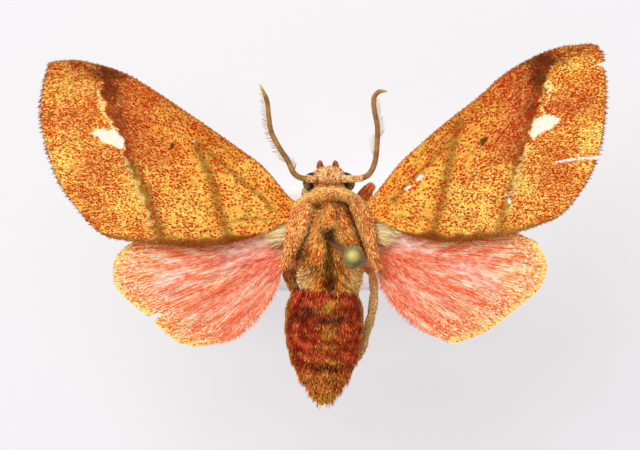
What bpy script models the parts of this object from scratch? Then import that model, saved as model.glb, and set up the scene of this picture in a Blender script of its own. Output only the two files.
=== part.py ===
"""A spread and pinned tiger moth at life size, on a small display base.

Metres, +Z up, the head towards +Y, the moth's own left towards -X. The origin is the middle of the
base's underside. Run with blender --background --python part.py, or from Blender's text editor.
"""

import math
import random

import bmesh
import bpy
from mathutils import Matrix, Vector
from mathutils.geometry import delaunay_2d_cdt, intersect_point_line

MM = 0.001
GAP = 0.3 * MM  # what two nodes that touch keep between them
LEFT, RIGHT = -1, 1

# The display base and the entomological pin
BASE_SIZE = Vector((26.0, 9.0, 5.0)) * MM
BASE_BEVEL = 0.6 * MM
PIN_LENGTH = 38.0 * MM
PIN_RADIUS = 0.25 * MM
PIN_HEAD_RADIUS = 0.88 * MM
PIN_SUNK = 3.8 * MM  # how deep the point stands in the base
PIN_LEAN = Vector((0.174, -0.12, 1.0))  # rise of the pin from its point to its head
PIN_ENTRY = Vector((0.16, -0.1)) * MM  # where it enters the back, seen from above

# Heights
WING_PLANE = 25.5 * MM  # the forewings' roots
HINDWING_DROP = 1.15 * MM

# The body's three parts, each an ellipsoid or a turned form that plane cuts part
THORAX_CENTRE = Vector((0.1, -0.2, 0.0)) * MM + Vector((0, 0, WING_PLANE - 0.5 * MM))
THORAX_AXES = Vector((3.0, 5.6, 2.8)) * MM
THORAX_FRONT = 2.95 * MM
THORAX_REAR = -4.0 * MM
HEAD_CENTRE = Vector((0.0, 4.75, 0.0)) * MM + Vector((0, 0, WING_PLANE - 0.3 * MM))
HEAD_AXES = Vector((1.6, 1.35, 1.45)) * MM
HEAD_HALF_WIDTH = 1.05 * MM  # between the flats that the eyes stand on
EYE_RADIUS = 0.86 * MM
EYE_PLACE = Vector((1.27, 4.6, 0.0)) * MM + Vector((0, 0, WING_PLANE - 0.62 * MM))
ABDOMEN_X = -0.42 * MM
ABDOMEN_Z = WING_PLANE - 0.9 * MM
ABDOMEN_FLATTEN = 0.84
ABDOMEN_DROOP = 0.06  # fall of the abdomen towards its tip

# Wings: thickness between and along the veins, and the spread wings' shape seen from the front
MEMBRANE = 0.5 * MM
VEIN_THICKNESS = 0.88 * MM
VEIN_FOOT = 0.34 * MM  # from a vein's crest to the flat of the membrane
WING_RISE = 0.045  # slope of the wings up to their tips
WING_BOW = 0.5 * MM
WING_CURL = 0.0035 / MM  # fall of the leading and trailing edges
OUTLINE_STEP = 1.15 * MM
VEIN_STEP = 1.3 * MM
FILL_STEP = 2.3 * MM

# Locks of the long coat. The stations give a lock's share of its length, width and thickness.
LOCK_THICKNESS = 0.5 * MM
LOCK_SUNK = 0.32 * MM
LOCK_STATIONS = [(0.0, 0.7, 1.0), (0.3, 1.0, 1.0), (0.62, 0.8, 0.85), (0.86, 0.42, 0.5)]
# Rows across the back: y and length in millimetres
BACK_ROWS = [(1.9, 1.9), (0.8, 2.1), (-0.3, 2.1), (-1.4, 1.9), (-2.4, 1.6)]
BACK_SPACING = 0.86 * MM
BACK_WIDTH = 1.15 * MM
# On the flanks and beside the waist: y in millimetres, and degrees above the middle height
FLANK_LOCKS = [(1.2, -48), (-0.4, -40), (-2.0, -34), (0.2, -68), (-1.6, -62)]
WAIST_LOCKS = [(-2.2, 18), (-2.5, 42), (-2.7, -8)]
FLANK_SIZE = (2.0 * MM, 1.3 * MM)  # a lock's length and width
WAIST_SIZE = (1.7 * MM, 1.2 * MM)
WAIST_SPREAD = 0.45

# The collar and the two shoulder flaps: middle lines seen from above, in millimetres
CAPE_THICKNESS = 0.62 * MM
CAPE_STEP = 0.75 * MM
COLLAR_MIDDLES = [(-1.85, 3.0), (-1.0, 3.4), (0.0, 3.55), (1.0, 3.4), (1.85, 3.0)]
COLLAR_HALF = (0.42, 0.54)  # half its width in millimetres, at the ends and in the middle
COLLAR_LOCKS = 7
COLLAR_SPREAD = 1.6
FLAP_MIDDLES = [(2.4, 2.0), (2.7, 1.1), (2.9, 0.2), (3.0, -0.7)]
FLAP_HALF = (0.5, 0.7)
FLAP_SHIFT = 0.15  # both flaps stand a little to the right, as the thorax does
FLAP_ROWS = [(2.45, 1.6, 1.6), (2.65, 0.9, 1.6), (2.85, 0.2, 1.6), (2.95, -0.5, 1.95)]  # x, y, length
FLAP_SPACING = 0.44

# The tufts of the face: degrees above the head's middle height, length in millimetres, number
FACE_ROWS = [(12, 0.45, 3), (42, 0.6, 2), (-20, 0.4, 3)]
FACE_SPACING = 0.62 * MM

# Palps and feelers, in millimetres. A palp's path is from the head's middle height, a feeler's from
# the wings' plane.
PALP_X = 0.6
PALP_PATH = [(0.0, 5.2, -1.85), (0.02, 5.8, -1.6), (0.02, 6.15, -1.0), (-0.02, 6.25, -0.35)]
PALP_SHIFT = -0.1
PALP_RADII = [0.26, 0.3, 0.27, 0.12]
ANTENNA_SOCKET = (4.85, 0.72)  # y and height, on the flat side of the head
ANTENNA_LEFT = [(-2.2, 4.95, 0.85), (-2.85, 5.4, 0.8), (-3.3, 6.35, 0.75), (-4.05, 7.5, 0.8),
                (-4.6, 8.65, 0.9), (-4.8, 9.8, 1.0), (-4.95, 11.1, 1.1), (-5.5, 12.4, 1.2)]
ANTENNA_RIGHT = [(2.6, 4.95, 0.85), (3.3, 5.4, 0.8), (3.7, 6.4, 0.75), (3.85, 8.0, 0.8), (3.85, 9.1, 0.9),
                 (3.62, 10.3, 1.0), (3.57, 11.25, 1.1), (3.95, 11.8, 1.2), (4.65, 11.85, 1.2)]
ANTENNA_STEP = 0.7 * MM
ANTENNA_RADII = (0.27, 0.21, 0.12)  # at the head, before the tip and at the tip
BRANCH_PAIRS = 15
BRANCH_SHARES = (0.16, 0.95)  # where along the feeler the branches begin and end
BRANCH_LENGTH = (0.42, 0.92)  # the shortest and the longest
BRANCH_HALF = 0.25 * MM
BRANCH_SLANT = 0.7

# The abdomen's outline seen from above, y and half its width in millimetres, and its tufts: y, the
# degrees from the top, length, width and rise
ABDOMEN_PROFILE = [(-4.3, 2.25), (-4.7, 2.68), (-5.3, 2.98), (-6.8, 3.16), (-8.2, 2.94), (-9.7, 2.38),
                   (-11.3, 1.6), (-12.4, 0.95), (-13.05, 0.5)]
ABDOMEN_SIDES = 22
SEGMENT_LENGTH = 1.35 * MM
SEGMENT_LIP = 0.1 * MM
ABDOMEN_TUFTS = [
    (-5.0, (-33, 0, 33), 1.9, 1.6, 0.55),
    (-5.2, (-150, -104, -66, 66, 104, 150), 1.8, 1.5, 0.12),
    (-7.0, (-88, 88), 1.5, 1.1, 0.2),
    (-8.4, (-88, 88), 1.5, 1.1, 0.25),
    (-9.8, (-88, 88), 1.5, 1.1, 0.25),
    (-11.0, (-88, 88), 1.5, 1.1, 0.25),
    (-11.6, (0, 60, 120, 180, 240, 300), 1.5, 0.95, 0.12),
    (-12.3, (30, 90, 150, 210, 270, 330), 1.15, 0.75, 0.12),
]

# Legs: x and y of the hip on the thorax's underside, and then the joints down to the foot, from the
# wings' plane, in millimetres
LEGS = {
    "foreleg_left": [(-1.0, 1.9), (-1.6, 2.9, -3.9), (-1.9, 3.9, -4.0), (-1.7, 3.9, -4.9), (-1.3, 2.8, -5.4),
                     (-0.9, 1.6, -5.5)],
    "foreleg_right": [(1.2, 1.9), (2.2, 2.8, -3.2), (3.15, 4.1, -2.0), (3.4, 4.1, -3.1), (2.8, 2.9, -4.1),
                      (1.7, 2.1, -4.7)],
    "midleg_left": [(-1.35, -0.4), (-2.4, 0.4, -3.9), (-3.4, 0.3, -4.1), (-3.3, -0.9, -4.8),
                    (-2.6, -2.4, -5.4), (-1.8, -3.8, -5.7)],
    "midleg_right": [(1.3, -0.4), (2.4, 0.4, -3.9), (3.4, 0.3, -4.1), (3.3, -0.9, -4.8), (2.6, -2.4, -5.4),
                     (1.8, -3.8, -5.7)],
    "hindleg_left": [(-1.2, -2.2), (-2.4, -1.7, -3.6), (-3.05, -1.9, -2.75), (-3.1, -3.2, -2.6),
                     (-2.5, -4.6, -3.4), (-1.75, -6.3, -4.3), (-1.2, -7.7, -4.8)],
    "hindleg_right": [(1.2, -2.3), (2.4, -2.1, -3.5), (3.4, -2.6, -2.7), (3.72, -4.1, -2.5),
                      (3.6, -5.9, -2.6), (3.15, -7.6, -2.8), (2.8, -8.8, -3.0), (2.35, -9.75, -3.2)],
}
HIP = 0.7 * MM  # how far the hip stands out of the thorax
LEG_STEP = 0.55 * MM
THIGH, SHIN, FOOT, CLAW = 0.4 * MM, 0.32 * MM, 0.25 * MM, 0.14 * MM
JOINT_NECK = 0.82  # how much of its thickness a limb has at a joint

# Outlines seen from above, in millimetres: the leading edge from the root to the tip, the outer
# edge down to the rear corner, and the trailing edge back to the root.
FOREWING_LEFT = {
    "leading": [(-3.3, 3.5), (-5.2, 5.75), (-7.1, 7.2), (-10.3, 9.45), (-14.3, 12.15), (-16.7, 13.45),
                (-19.9, 14.3), (-22.0, 14.2), (-22.35, 14.0)],
    "outer": [(-22.35, 14.0), (-22.85, 12.0), (-23.05, 9.5), (-22.1, 5.85), (-21.05, 3.8), (-19.5, 1.85),
              (-18.3, 0.65), (-17.3, 0.2)],
    "trailing": [(-17.3, 0.2), (-14.3, -0.22), (-10.1, -0.45), (-7.65, -0.1), (-5.4, 0.55), (-3.6, 1.4)],
}
FOREWING_RIGHT = {
    "leading": [(3.3, 3.2), (5.65, 6.05), (7.2, 7.5), (9.2, 9.25), (12.0, 11.45), (14.3, 13.45),
                (17.65, 15.15), (20.3, 15.6), (21.35, 15.5)],
    "outer": [(21.35, 15.5), (21.8, 14.8), (21.9, 13.8), (22.1, 12.3), (22.1, 10.1), (21.55, 6.9),
              (20.3, 4.25), (18.4, 2.0), (16.2, 1.05)],
    "trailing": [(16.2, 1.05), (13.5, 0.33), (9.95, -0.06), (6.55, 0.4), (4.9, 1.15), (3.9, 1.55)],
}
HINDWING_LEFT = {
    "leading": [(-3.9, 0.35), (-7.4, 0.75), (-11.2, 0.75), (-14.4, 0.3), (-16.1, -0.4)],
    "outer": [(-16.1, -0.4), (-17.05, -1.5), (-17.2, -3.4), (-16.1, -4.75), (-14.3, -6.2), (-12.4, -7.9),
              (-10.2, -8.45)],
    "trailing": [(-10.2, -8.45), (-7.7, -7.85), (-5.9, -6.3), (-4.7, -4.65), (-4.1, -3.2), (-3.7, -2.2)],
}
HINDWING_RIGHT = {
    "leading": [(3.9, 0.35), (7.4, 0.8), (11.2, 1.05), (14.4, 0.75), (16.5, -0.1)],
    "outer": [(16.5, -0.1), (17.4, -1.9), (16.75, -3.9), (14.9, -5.5), (12.3, -7.4), (9.5, -8.1)],
    "trailing": [(9.5, -8.1), (7.6, -7.25), (5.75, -5.75), (4.65, -4.3), (4.05, -2.9), (3.75, -1.9)],
}
# The rows of y, from front to rear, between which each wing's root lies along the thorax
FOREWING_ROOT = (2.7 * MM, 1.2 * MM)
HINDWING_ROOT = (0.2 * MM, -1.9 * MM)

# Nicks and tears of the wings' outer edges: where the cut opens on the edge, how wide, and its end
APEX_NICK = {"mouth": (21.9, 14.0), "width": 0.5, "end": (21.1, 13.85)}
TEAR = {"mouth": (21.5, 6.55), "width": 0.45, "end": (17.0, 6.05)}
REAR_NICK = {"mouth": (-14.05, -6.45), "width": 0.75, "end": (-13.4, -5.85)}

# Main veins. Each point is a place on the wing: its share of the way from the root to the outer
# edge, and of the way from the leading to the trailing edge.
FOREWING_VEINS = [
    [(0.03, 0.12), (0.35, 0.07), (0.66, 0.025)],
    [(0.03, 0.32), (0.3, 0.2), (0.56, 0.15), (0.8, 0.06), (0.96, 0.03)],
    [(0.56, 0.15), (0.8, 0.12), (0.97, 0.11)],
    [(0.57, 0.2), (0.8, 0.23), (0.97, 0.25)],
    [(0.56, 0.15), (0.54, 0.3), (0.58, 0.43)],
    [(0.57, 0.38), (0.8, 0.4), (0.97, 0.41)],
    [(0.58, 0.43), (0.8, 0.51), (0.97, 0.54)],
    [(0.03, 0.55), (0.3, 0.45), (0.58, 0.43)],
    [(0.46, 0.43), (0.75, 0.61), (0.97, 0.67)],
    [(0.32, 0.45), (0.66, 0.68), (0.97, 0.81)],
    [(0.03, 0.8), (0.4, 0.84), (0.95, 0.95)],
]
HINDWING_VEINS = [
    [(0.04, 0.12), (0.4, 0.1), (0.93, 0.04)],
    [(0.04, 0.28), (0.4, 0.22), (0.97, 0.17)],
    [(0.45, 0.24), (0.7, 0.29), (0.97, 0.3)],
    [(0.45, 0.24), (0.42, 0.32), (0.47, 0.42)],
    [(0.04, 0.45), (0.47, 0.42), (0.97, 0.44)],
    [(0.47, 0.42), (0.7, 0.52), (0.97, 0.56)],
    [(0.3, 0.43), (0.65, 0.64), (0.97, 0.7)],
    [(0.04, 0.66), (0.5, 0.78), (0.97, 0.85)],
]

MATERIALS = {
    "forewing": ((0.80, 0.42, 0.12), 0.75, 0.0),
    "hindwing": ((0.90, 0.38, 0.28), 0.75, 0.0),
    "coat": ((0.78, 0.38, 0.16), 0.85, 0.0),
    "abdomen": ((0.52, 0.13, 0.06), 0.85, 0.0),
    "antenna": ((0.50, 0.30, 0.12), 0.6, 0.0),
    "eye": ((0.06, 0.06, 0.04), 0.25, 0.0),
    "leg": ((0.55, 0.36, 0.17), 0.7, 0.0),
    "pin": ((0.42, 0.40, 0.36), 0.3, 1.0),
    "pin_head": ((0.45, 0.45, 0.15), 0.3, 0.0),
    "base": ((0.88, 0.88, 0.86), 0.6, 0.0),
}


def clear_scene():
    for obj in list(bpy.data.objects):
        bpy.data.objects.remove(obj)


def material(name):
    """A Principled material from the table, made once."""
    made = bpy.data.materials.get(name)
    if made:
        return made
    colour, roughness, metallic = MATERIALS[name]
    made = bpy.data.materials.new(name)
    made.use_nodes = True
    shader = made.node_tree.nodes["Principled BSDF"]
    shader.inputs["Base Color"].default_value = (*colour, 1.0)
    shader.inputs["Roughness"].default_value = roughness
    shader.inputs["Metallic"].default_value = metallic
    return made


def new_object(name, data, group, finish=None):
    obj = bpy.data.objects.new(name, data)
    group.objects.link(obj)
    if finish:
        data.materials.clear()
        data.materials.append(material(finish))
    return obj


def mesh_of(bm, name):
    bmesh.ops.recalc_face_normals(bm, faces=bm.faces)
    mesh = bpy.data.meshes.new(name)
    bm.to_mesh(mesh)
    bm.free()
    return mesh


def evaluated_mesh(obj):
    """The object's shape with its modifiers, as a mesh of its own whose seams and caps are welded."""
    bpy.context.view_layer.update()
    graph = bpy.context.evaluated_depsgraph_get()
    mesh = bpy.data.meshes.new_from_object(obj.evaluated_get(graph))
    bm = bmesh.new()
    bm.from_mesh(mesh)
    bmesh.ops.remove_doubles(bm, verts=bm.verts, dist=1e-7)
    bm.to_mesh(mesh)
    bm.free()
    return mesh


def shade_round(mesh, angle=math.radians(40)):
    mesh.shade_smooth()
    mesh.set_sharp_from_angle(angle=angle)


# Shared shapes


def smooth_line(points, step):
    """A Catmull-Rom line through the points, with a point about every step."""
    points = [Vector(p) for p in points]
    ends = [2 * points[0] - points[1], *points, 2 * points[-1] - points[-2]]
    line = []
    for before, start, end, after in zip(ends, ends[1:], ends[2:], ends[3:]):
        count = max(1, round((end - start).length / step))
        for i in range(count):
            t = i / count
            line.append(0.5 * (2 * start + (end - before) * t
                               + (2 * before - 5 * start + 4 * end - after) * t**2
                               + (3 * start - before - 3 * end + after) * t**3))
    return [*line, points[-1]]


def at_share(line, share):
    """The point at this share of the line's length."""
    lengths = [(b - a).length for a, b in zip(line, line[1:])]
    left = share * sum(lengths)
    for a, b, length in zip(line, line[1:], lengths):
        if left <= length:
            return a.lerp(b, left / length)
        left -= length
    return line[-1].copy()


def loft(bm, rings, tip=None):
    """Closes a skin over rings of points, each with as many points, with a flat cap or a tip."""
    verts = [[bm.verts.new(point) for point in ring] for ring in rings]
    for low, high in zip(verts, verts[1:]):
        for i in range(len(low)):
            bm.faces.new((low[i - 1], low[i], high[i], high[i - 1]))
    bm.faces.new(verts[0])
    if tip is None:
        bm.faces.new(verts[-1])
        return
    end = bm.verts.new(tip)
    for i in range(len(verts[-1])):
        bm.faces.new((verts[-1][i - 1], verts[-1][i], end))


def ellipsoid(centre, axes, segments, rings):
    bm = bmesh.new()
    bmesh.ops.create_uvsphere(bm, u_segments=segments, v_segments=rings, radius=1.0)
    bmesh.ops.transform(bm, matrix=Matrix.Translation(centre) @ Matrix.Diagonal((*axes, 1.0)),
                        verts=bm.verts)
    return bm


def cut_flat(bm, place, outward):
    """Takes off what lies past a plane, and closes the cut with a flat face."""
    whole = bm.verts[:] + bm.edges[:] + bm.faces[:]
    cut = bmesh.ops.bisect_plane(bm, geom=whole, dist=1e-8, plane_co=place, plane_no=outward,
                                 clear_outer=True)
    rim = [item for item in cut["geom_cut"] if isinstance(item, bmesh.types.BMEdge)]
    bmesh.ops.contextual_create(bm, geom=rim)


def lock(root, lie, up, length, width, rise, fall, thickness=LOCK_THICKNESS):
    """One flat, tapered lock: it leaves its root along lie, rises from the skin, and bends back."""
    lie, up = lie.normalized(), up.normalized()
    up = (up - lie * up.dot(lie)).normalized()
    across = lie.cross(up)
    start = root - up * LOCK_SUNK

    def middle(t):
        return start + lie * length * t + up * ((rise + LOCK_SUNK) * t - fall * t * t)

    bm = bmesh.new()
    rings = []
    for t, wide, thick in LOCK_STATIONS:
        side = across * width * wide / 2
        deep = up * thickness * thick / 2
        rings.append([middle(t) + side, middle(t) + deep, middle(t) - side, middle(t) - deep])
    loft(bm, rings, middle(1.0))
    return mesh_of(bm, "lock")


def tube(points, radii, sides=8):
    """A round, tapered limb through the points, closed at both ends."""
    data = bpy.data.curves.new("limb", "CURVE")
    data.dimensions = "3D"
    data.bevel_depth = 1.0
    data.bevel_resolution = (sides - 4) // 2
    data.use_fill_caps = True
    spline = data.splines.new("POLY")
    spline.points.add(len(points) - 1)
    for target, point, radius in zip(spline.points, points, radii):
        target.co = (*point, 1.0)
        target.radius = radius
    helper = bpy.data.objects.new("limb", data)
    bpy.context.scene.collection.objects.link(helper)
    mesh = evaluated_mesh(helper)
    bpy.data.objects.remove(helper)
    return mesh


def combine(core, meshes, operation="UNION"):
    """One Boolean of the core with closed pieces. The core keeps its largest closed surface."""
    pieces = bpy.data.collections.new(core.name + "_pieces")
    bpy.context.scene.collection.children.link(pieces)
    helpers = [new_object(f"piece_{i}", mesh, pieces) for i, mesh in enumerate(meshes)]
    modifier = core.modifiers.new("combine", "BOOLEAN")
    modifier.operation = operation
    modifier.solver = "MANIFOLD"
    modifier.operand_type = "COLLECTION"
    modifier.collection = pieces
    joined = evaluated_mesh(core)
    core.modifiers.remove(modifier)
    for helper in helpers:
        bpy.data.objects.remove(helper)
    bpy.data.collections.remove(pieces)
    finish = core.data.materials[0]
    core.data = largest_surface(joined)
    core.data.materials.clear()
    core.data.materials.append(finish)
    shade_round(core.data)


def largest_surface(mesh):
    bm = bmesh.new()
    bm.from_mesh(mesh)
    bmesh.ops.triangulate(bm, faces=bm.faces)
    left = set(bm.verts)
    surfaces = []
    while left:
        reached = {left.pop()}
        edge = list(reached)
        while edge:
            near = {e.other_vert(v) for v in edge for e in v.link_edges} - reached
            reached |= near
            edge = list(near)
        left -= reached
        surfaces.append(reached)

    def volume(verts):
        faces = {face for vert in verts for face in vert.link_faces}
        return sum(f.verts[0].co.dot(f.verts[1].co.cross(f.verts[2].co)) for f in faces) / 6

    keep = max(surfaces, key=volume)
    bmesh.ops.delete(bm, geom=[v for v in bm.verts if v not in keep], context="VERTS")
    bm.to_mesh(mesh)
    bm.free()
    return mesh


# Where the body's surface is


def thorax_side(y, z):
    """Half of the thorax's width at this place along it and height."""
    along = (y - THORAX_CENTRE.y) / THORAX_AXES.y
    high = (z - THORAX_CENTRE.z) / THORAX_AXES.z
    return THORAX_AXES.x * math.sqrt(max(0.0, 1 - along**2 - high**2))


def top_of(centre, axes, x, y):
    """Height of an ellipsoid's upper surface, or its middle height outside its outline."""
    inside = 1 - ((x - centre.x) / axes.x) ** 2 - ((y - centre.y) / axes.y) ** 2
    return centre.z + axes.z * math.sqrt(max(0.0, inside))


def normal_at(centre, axes, point):
    return Vector([(point[i] - centre[i]) / axes[i] ** 2 for i in range(3)]).normalized()


def back_lie(up):
    """The coat's lie at a place: straight to the rear, along the surface."""
    rear = Vector((0, -1, 0))
    return (rear - up * rear.dot(up)).normalized()


# Wings


def wing_height(x, y):
    """The spread wings' own surface: rising outwards, bowed, and curled down at the edges."""
    out = max(0.0, abs(x) - THORAX_AXES.x)
    span = 20.0 * MM
    middle = 0.28 * out
    return (WING_RISE * out + WING_BOW * math.sin(math.pi * min(1.0, out / span))
            - WING_CURL * (y - middle) ** 2)


def wing_edges(plan, root_rows, drop):
    """The wing's four edges in metres: leading, outer, trailing, and the root along the thorax."""
    side = math.copysign(1.0, plan["leading"][0][0])
    level = WING_PLANE - drop
    root = []
    for i in range(4):
        y = root_rows[0] + (root_rows[1] - root_rows[0]) * i / 3
        root.append(Vector((THORAX_CENTRE.x + side * (thorax_side(y, level) + GAP), y)))

    def edge(name, start=None, end=None):
        points = [Vector(p) * MM for p in plan[name]]
        points = ([start] if start else []) + points + ([end] if end else [])
        return smooth_line(points, OUTLINE_STEP)

    return {"leading": edge("leading", start=root[0]), "outer": edge("outer"),
            "trailing": edge("trailing", end=root[-1]), "root": root}


def place_on_wing(edges, along, across):
    """A point from its shares along and across the wing, blended between the four edges."""
    lead = at_share(edges["leading"], along)
    trail = at_share(edges["trailing"], 1 - along)
    root = at_share(edges["root"], across)
    outer = at_share(edges["outer"], across)
    corners = (edges["leading"][0].lerp(edges["trailing"][-1], across) * (1 - along)
               + edges["leading"][-1].lerp(edges["trailing"][0], across) * along)
    return lead.lerp(trail, across) + root.lerp(outer, along) - corners


def nicked(line, nick):
    """The edge with a pointed cut: points in its mouth give way to its two lips and its end."""
    mouth, end, half = Vector(nick["mouth"]) * MM, Vector(nick["end"]) * MM, nick["width"] * MM / 2
    nearest = min(range(len(line)), key=lambda i: (line[i] - mouth).length)
    along = (line[min(nearest + 1, len(line) - 1)] - line[max(nearest - 1, 0)]).normalized()
    before = [p for p in line[:nearest + 1] if (p - mouth).dot(along) < -half * 1.3]
    after = [p for p in line[nearest:] if (p - mouth).dot(along) > half * 1.3]
    return [*before, mouth - along * half, end, mouth + along * half, *after]


def inside(point, outline, margin):
    """Whether a point is within the outline and at least margin away from it."""
    hits = 0
    for a, b in zip(outline, [*outline[1:], outline[0]]):
        near, share = intersect_point_line(point, a, b)
        near = a.lerp(b, min(1.0, max(0.0, share)))
        if (Vector(near[:2]) - point).length < margin:
            return False
        if (a.y > point.y) != (b.y > point.y):
            hits += point.x < a.x + (point.y - a.y) * (b.x - a.x) / (b.y - a.y)
    return hits % 2 == 1


def distance_to_lines(point, lines):
    least = 1.0
    for line in lines:
        for a, b in zip(line, line[1:]):
            span = b - a
            share = min(1.0, max(0.0, (point - a).dot(span) / span.length_squared))
            least = min(least, (a + span * share - point).length)
    return least


def wing_plan(edges, veins, nicks):
    """Points, vein edges and outline of a wing seen from above."""
    outer = edges["outer"]
    for nick in nicks:
        outer = nicked(outer, nick)
    outline = [*edges["leading"], *outer[1:], *edges["trailing"][1:], *edges["root"][-2:0:-1]]
    lines = []
    for vein in veins:
        line = smooth_line([place_on_wing(edges, *place) for place in vein], VEIN_STEP)
        lines.append([p for p in line if inside(p, outline, 0.25 * MM)])
    crests, ties, flanks = [], [], []
    for line in lines:
        first = len(crests)
        crests += line
        ties += [(first + i, first + i + 1) for i in range(len(line) - 1)
                 if (line[i + 1] - line[i]).length < 1.6 * VEIN_STEP]
        for i, point in enumerate(line):
            along = (line[min(i + 1, len(line) - 1)] - line[max(i - 1, 0)]).normalized()
            for side in (Vector((-along.y, along.x)), Vector((along.y, -along.x))):
                flanks.append(point + side * VEIN_FOOT)
    flanks = [p for p in flanks if distance_to_lines(p, lines) > 0.8 * VEIN_FOOT
              and inside(p, outline, 0.2 * MM)]
    low = [min(p[i] for p in outline) for i in (0, 1)]
    high = [max(p[i] for p in outline) for i in (0, 1)]
    fill = []
    for row in range(int((high[1] - low[1]) / FILL_STEP)):
        for column in range(int((high[0] - low[0]) / FILL_STEP)):
            point = Vector((low[0] + (column + 0.5 + row % 2 / 2) * FILL_STEP,
                            low[1] + (row + 0.5) * FILL_STEP))
            if inside(point, outline, 0.45 * FILL_STEP) and distance_to_lines(point, lines) > 0.4 * FILL_STEP:
                fill.append(point)
    return outline, crests, ties, flanks + fill, lines


def wing(name, group, plan, root_rows, veins, drop=0.0, nicks=()):
    """A membrane whose veins are ridges: one sheet of triangles, thickened most along the veins."""
    edges = wing_edges(plan, root_rows, drop)
    outline, crests, ties, others, lines = wing_plan(edges, veins, nicks)
    rim = len(outline)
    ring = [(i, (i + 1) % rim) for i in range(rim)]
    inner = [(a + rim, b + rim) for a, b in ties]
    points = [p / MM for p in [*outline, *crests, *others]]
    flat, _, faces, *_ = delaunay_2d_cdt(points, ring + inner, [], 1, 1e-4)
    bm = bmesh.new()
    verts = []
    for point in flat:
        x, y = point * MM
        verts.append(bm.verts.new((x, y, WING_PLANE - drop + wing_height(x, y))))
    for face in faces:
        bm.faces.new([verts[i] for i in face])
    bmesh.ops.delete(bm, geom=[v for v in bm.verts if not v.link_faces], context="VERTS")
    mesh = mesh_of(bm, name)
    obj = new_object(name, mesh, group, "forewing" if drop == 0.0 else "hindwing")
    ridge = obj.vertex_groups.new(name="veins")
    for vert in mesh.vertices:
        away = distance_to_lines(vert.co.to_2d(), lines)
        ridge.add([vert.index], max(0.0, 1 - away / VEIN_FOOT), "REPLACE")
    thicken = obj.modifiers.new("thickness", "SOLIDIFY")
    thicken.thickness = VEIN_THICKNESS
    thicken.offset = 0.0
    thicken.vertex_group = "veins"
    thicken.thickness_vertex_group = MEMBRANE / VEIN_THICKNESS
    return obj


# The trunk and its coat


def thorax(group):
    bm = ellipsoid(THORAX_CENTRE, THORAX_AXES, 28, 16)
    cut_flat(bm, (0, THORAX_FRONT, 0), (0, 1, 0))
    cut_flat(bm, (0, THORAX_REAR, 0), (0, -1, 0))
    body = new_object("thorax", mesh_of(bm, "thorax"), group, "coat")
    draw = random.Random(5)
    locks = []
    for row, (y, length) in enumerate(BACK_ROWS):
        columns = 4 + row % 2
        for column in range(columns):
            x = (column - (columns - 1) / 2) * BACK_SPACING + draw.uniform(-0.08, 0.08) * MM
            point = Vector((THORAX_CENTRE.x + x, y * MM, 0))
            point.z = top_of(THORAX_CENTRE, THORAX_AXES, point.x, point.y)
            up = normal_at(THORAX_CENTRE, THORAX_AXES, point)
            locks.append(lock(point, back_lie(up), up, length * draw.uniform(0.9, 1.1) * MM,
                              BACK_WIDTH, 0.42 * MM, 0.3 * MM))
    for side in (LEFT, RIGHT):
        locks += [thorax_lock(side, y, angle, *FLANK_SIZE) for y, angle in FLANK_LOCKS]
        locks += [thorax_lock(side, y, angle, *WAIST_SIZE, WAIST_SPREAD) for y, angle in WAIST_LOCKS]
    combine(body, locks)
    combine(body, [pin_clearance()], "DIFFERENCE")
    return body


def thorax_lock(side, y, degrees, length, width, spread=0.0):
    """A lock on the thorax's flank, at an angle above or below its middle height."""
    angle = math.radians(degrees)
    shrink = math.sqrt(1 - ((y * MM - THORAX_CENTRE.y) / THORAX_AXES.y) ** 2)
    point = THORAX_CENTRE + Vector((side * THORAX_AXES.x * shrink * math.cos(angle), 0,
                                    THORAX_AXES.z * shrink * math.sin(angle)))
    point.y = y * MM
    up = normal_at(THORAX_CENTRE, THORAX_AXES, point)
    lie = back_lie(up) + Vector((side * spread, 0, 0))
    return lock(point, lie, up, length, width, 0.3 * MM, 0.3 * MM)


def cape_height(x, y):
    """The lower limit of the collar and shoulder flaps: over the back, the head and the wings."""
    back = top_of(THORAX_CENTRE, THORAX_AXES, x, min(y, THORAX_FRONT))
    head = top_of(HEAD_CENTRE, HEAD_AXES, x, y) if abs(x) < HEAD_HALF_WIDTH else 0.0
    wings = WING_PLANE + wing_height(x, y) + VEIN_THICKNESS / 2
    return max(back, head, wings) + GAP * 1.3


def cape_patch(name, group, middles, halves, across_count=4):
    """A strap that lies over the body: a sheet along its middle line, widest halfway."""
    line = smooth_line([Vector(p) * MM for p in middles], CAPE_STEP)
    bm = bmesh.new()
    rows = []
    for i, point in enumerate(line):
        along = (line[min(i + 1, len(line) - 1)] - line[max(i - 1, 0)]).normalized()
        across = Vector((along.y, -along.x))
        swell = math.sin(math.pi * i / (len(line) - 1))
        half = (halves[0] + (halves[1] - halves[0]) * swell) * MM
        row = []
        for j in range(across_count):
            place = point + across * half * (2 * j / (across_count - 1) - 1)
            height = cape_height(place.x, place.y) + CAPE_THICKNESS / 2
            row.append(bm.verts.new((place.x, place.y, height)))
        rows.append(row)
    for low, high in zip(rows, rows[1:]):
        for j in range(across_count - 1):
            bm.faces.new((low[j], low[j + 1], high[j + 1], high[j]))
    bmesh.ops.triangulate(bm, faces=bm.faces)
    strap = new_object(name, mesh_of(bm, name), group, "coat")
    thicken = strap.modifiers.new("thickness", "SOLIDIFY")
    thicken.thickness = CAPE_THICKNESS
    thicken.offset = 0.0
    strap.data = evaluated_mesh(strap)
    strap.modifiers.clear()
    strap.data.materials.clear()
    strap.data.materials.append(material("coat"))
    return strap


def cape_lock(x, y, lie, length, width, rise=0.25):
    """A lock on the collar or a shoulder flap, from its upper face."""
    root = Vector((x * MM, y * MM, 0))
    root.z = cape_height(root.x, root.y) + CAPE_THICKNESS
    return lock(root, Vector((*lie, 0.0)), Vector((0, 0, 1)), length * MM, width * MM, rise * MM,
                0.32 * MM)


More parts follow.
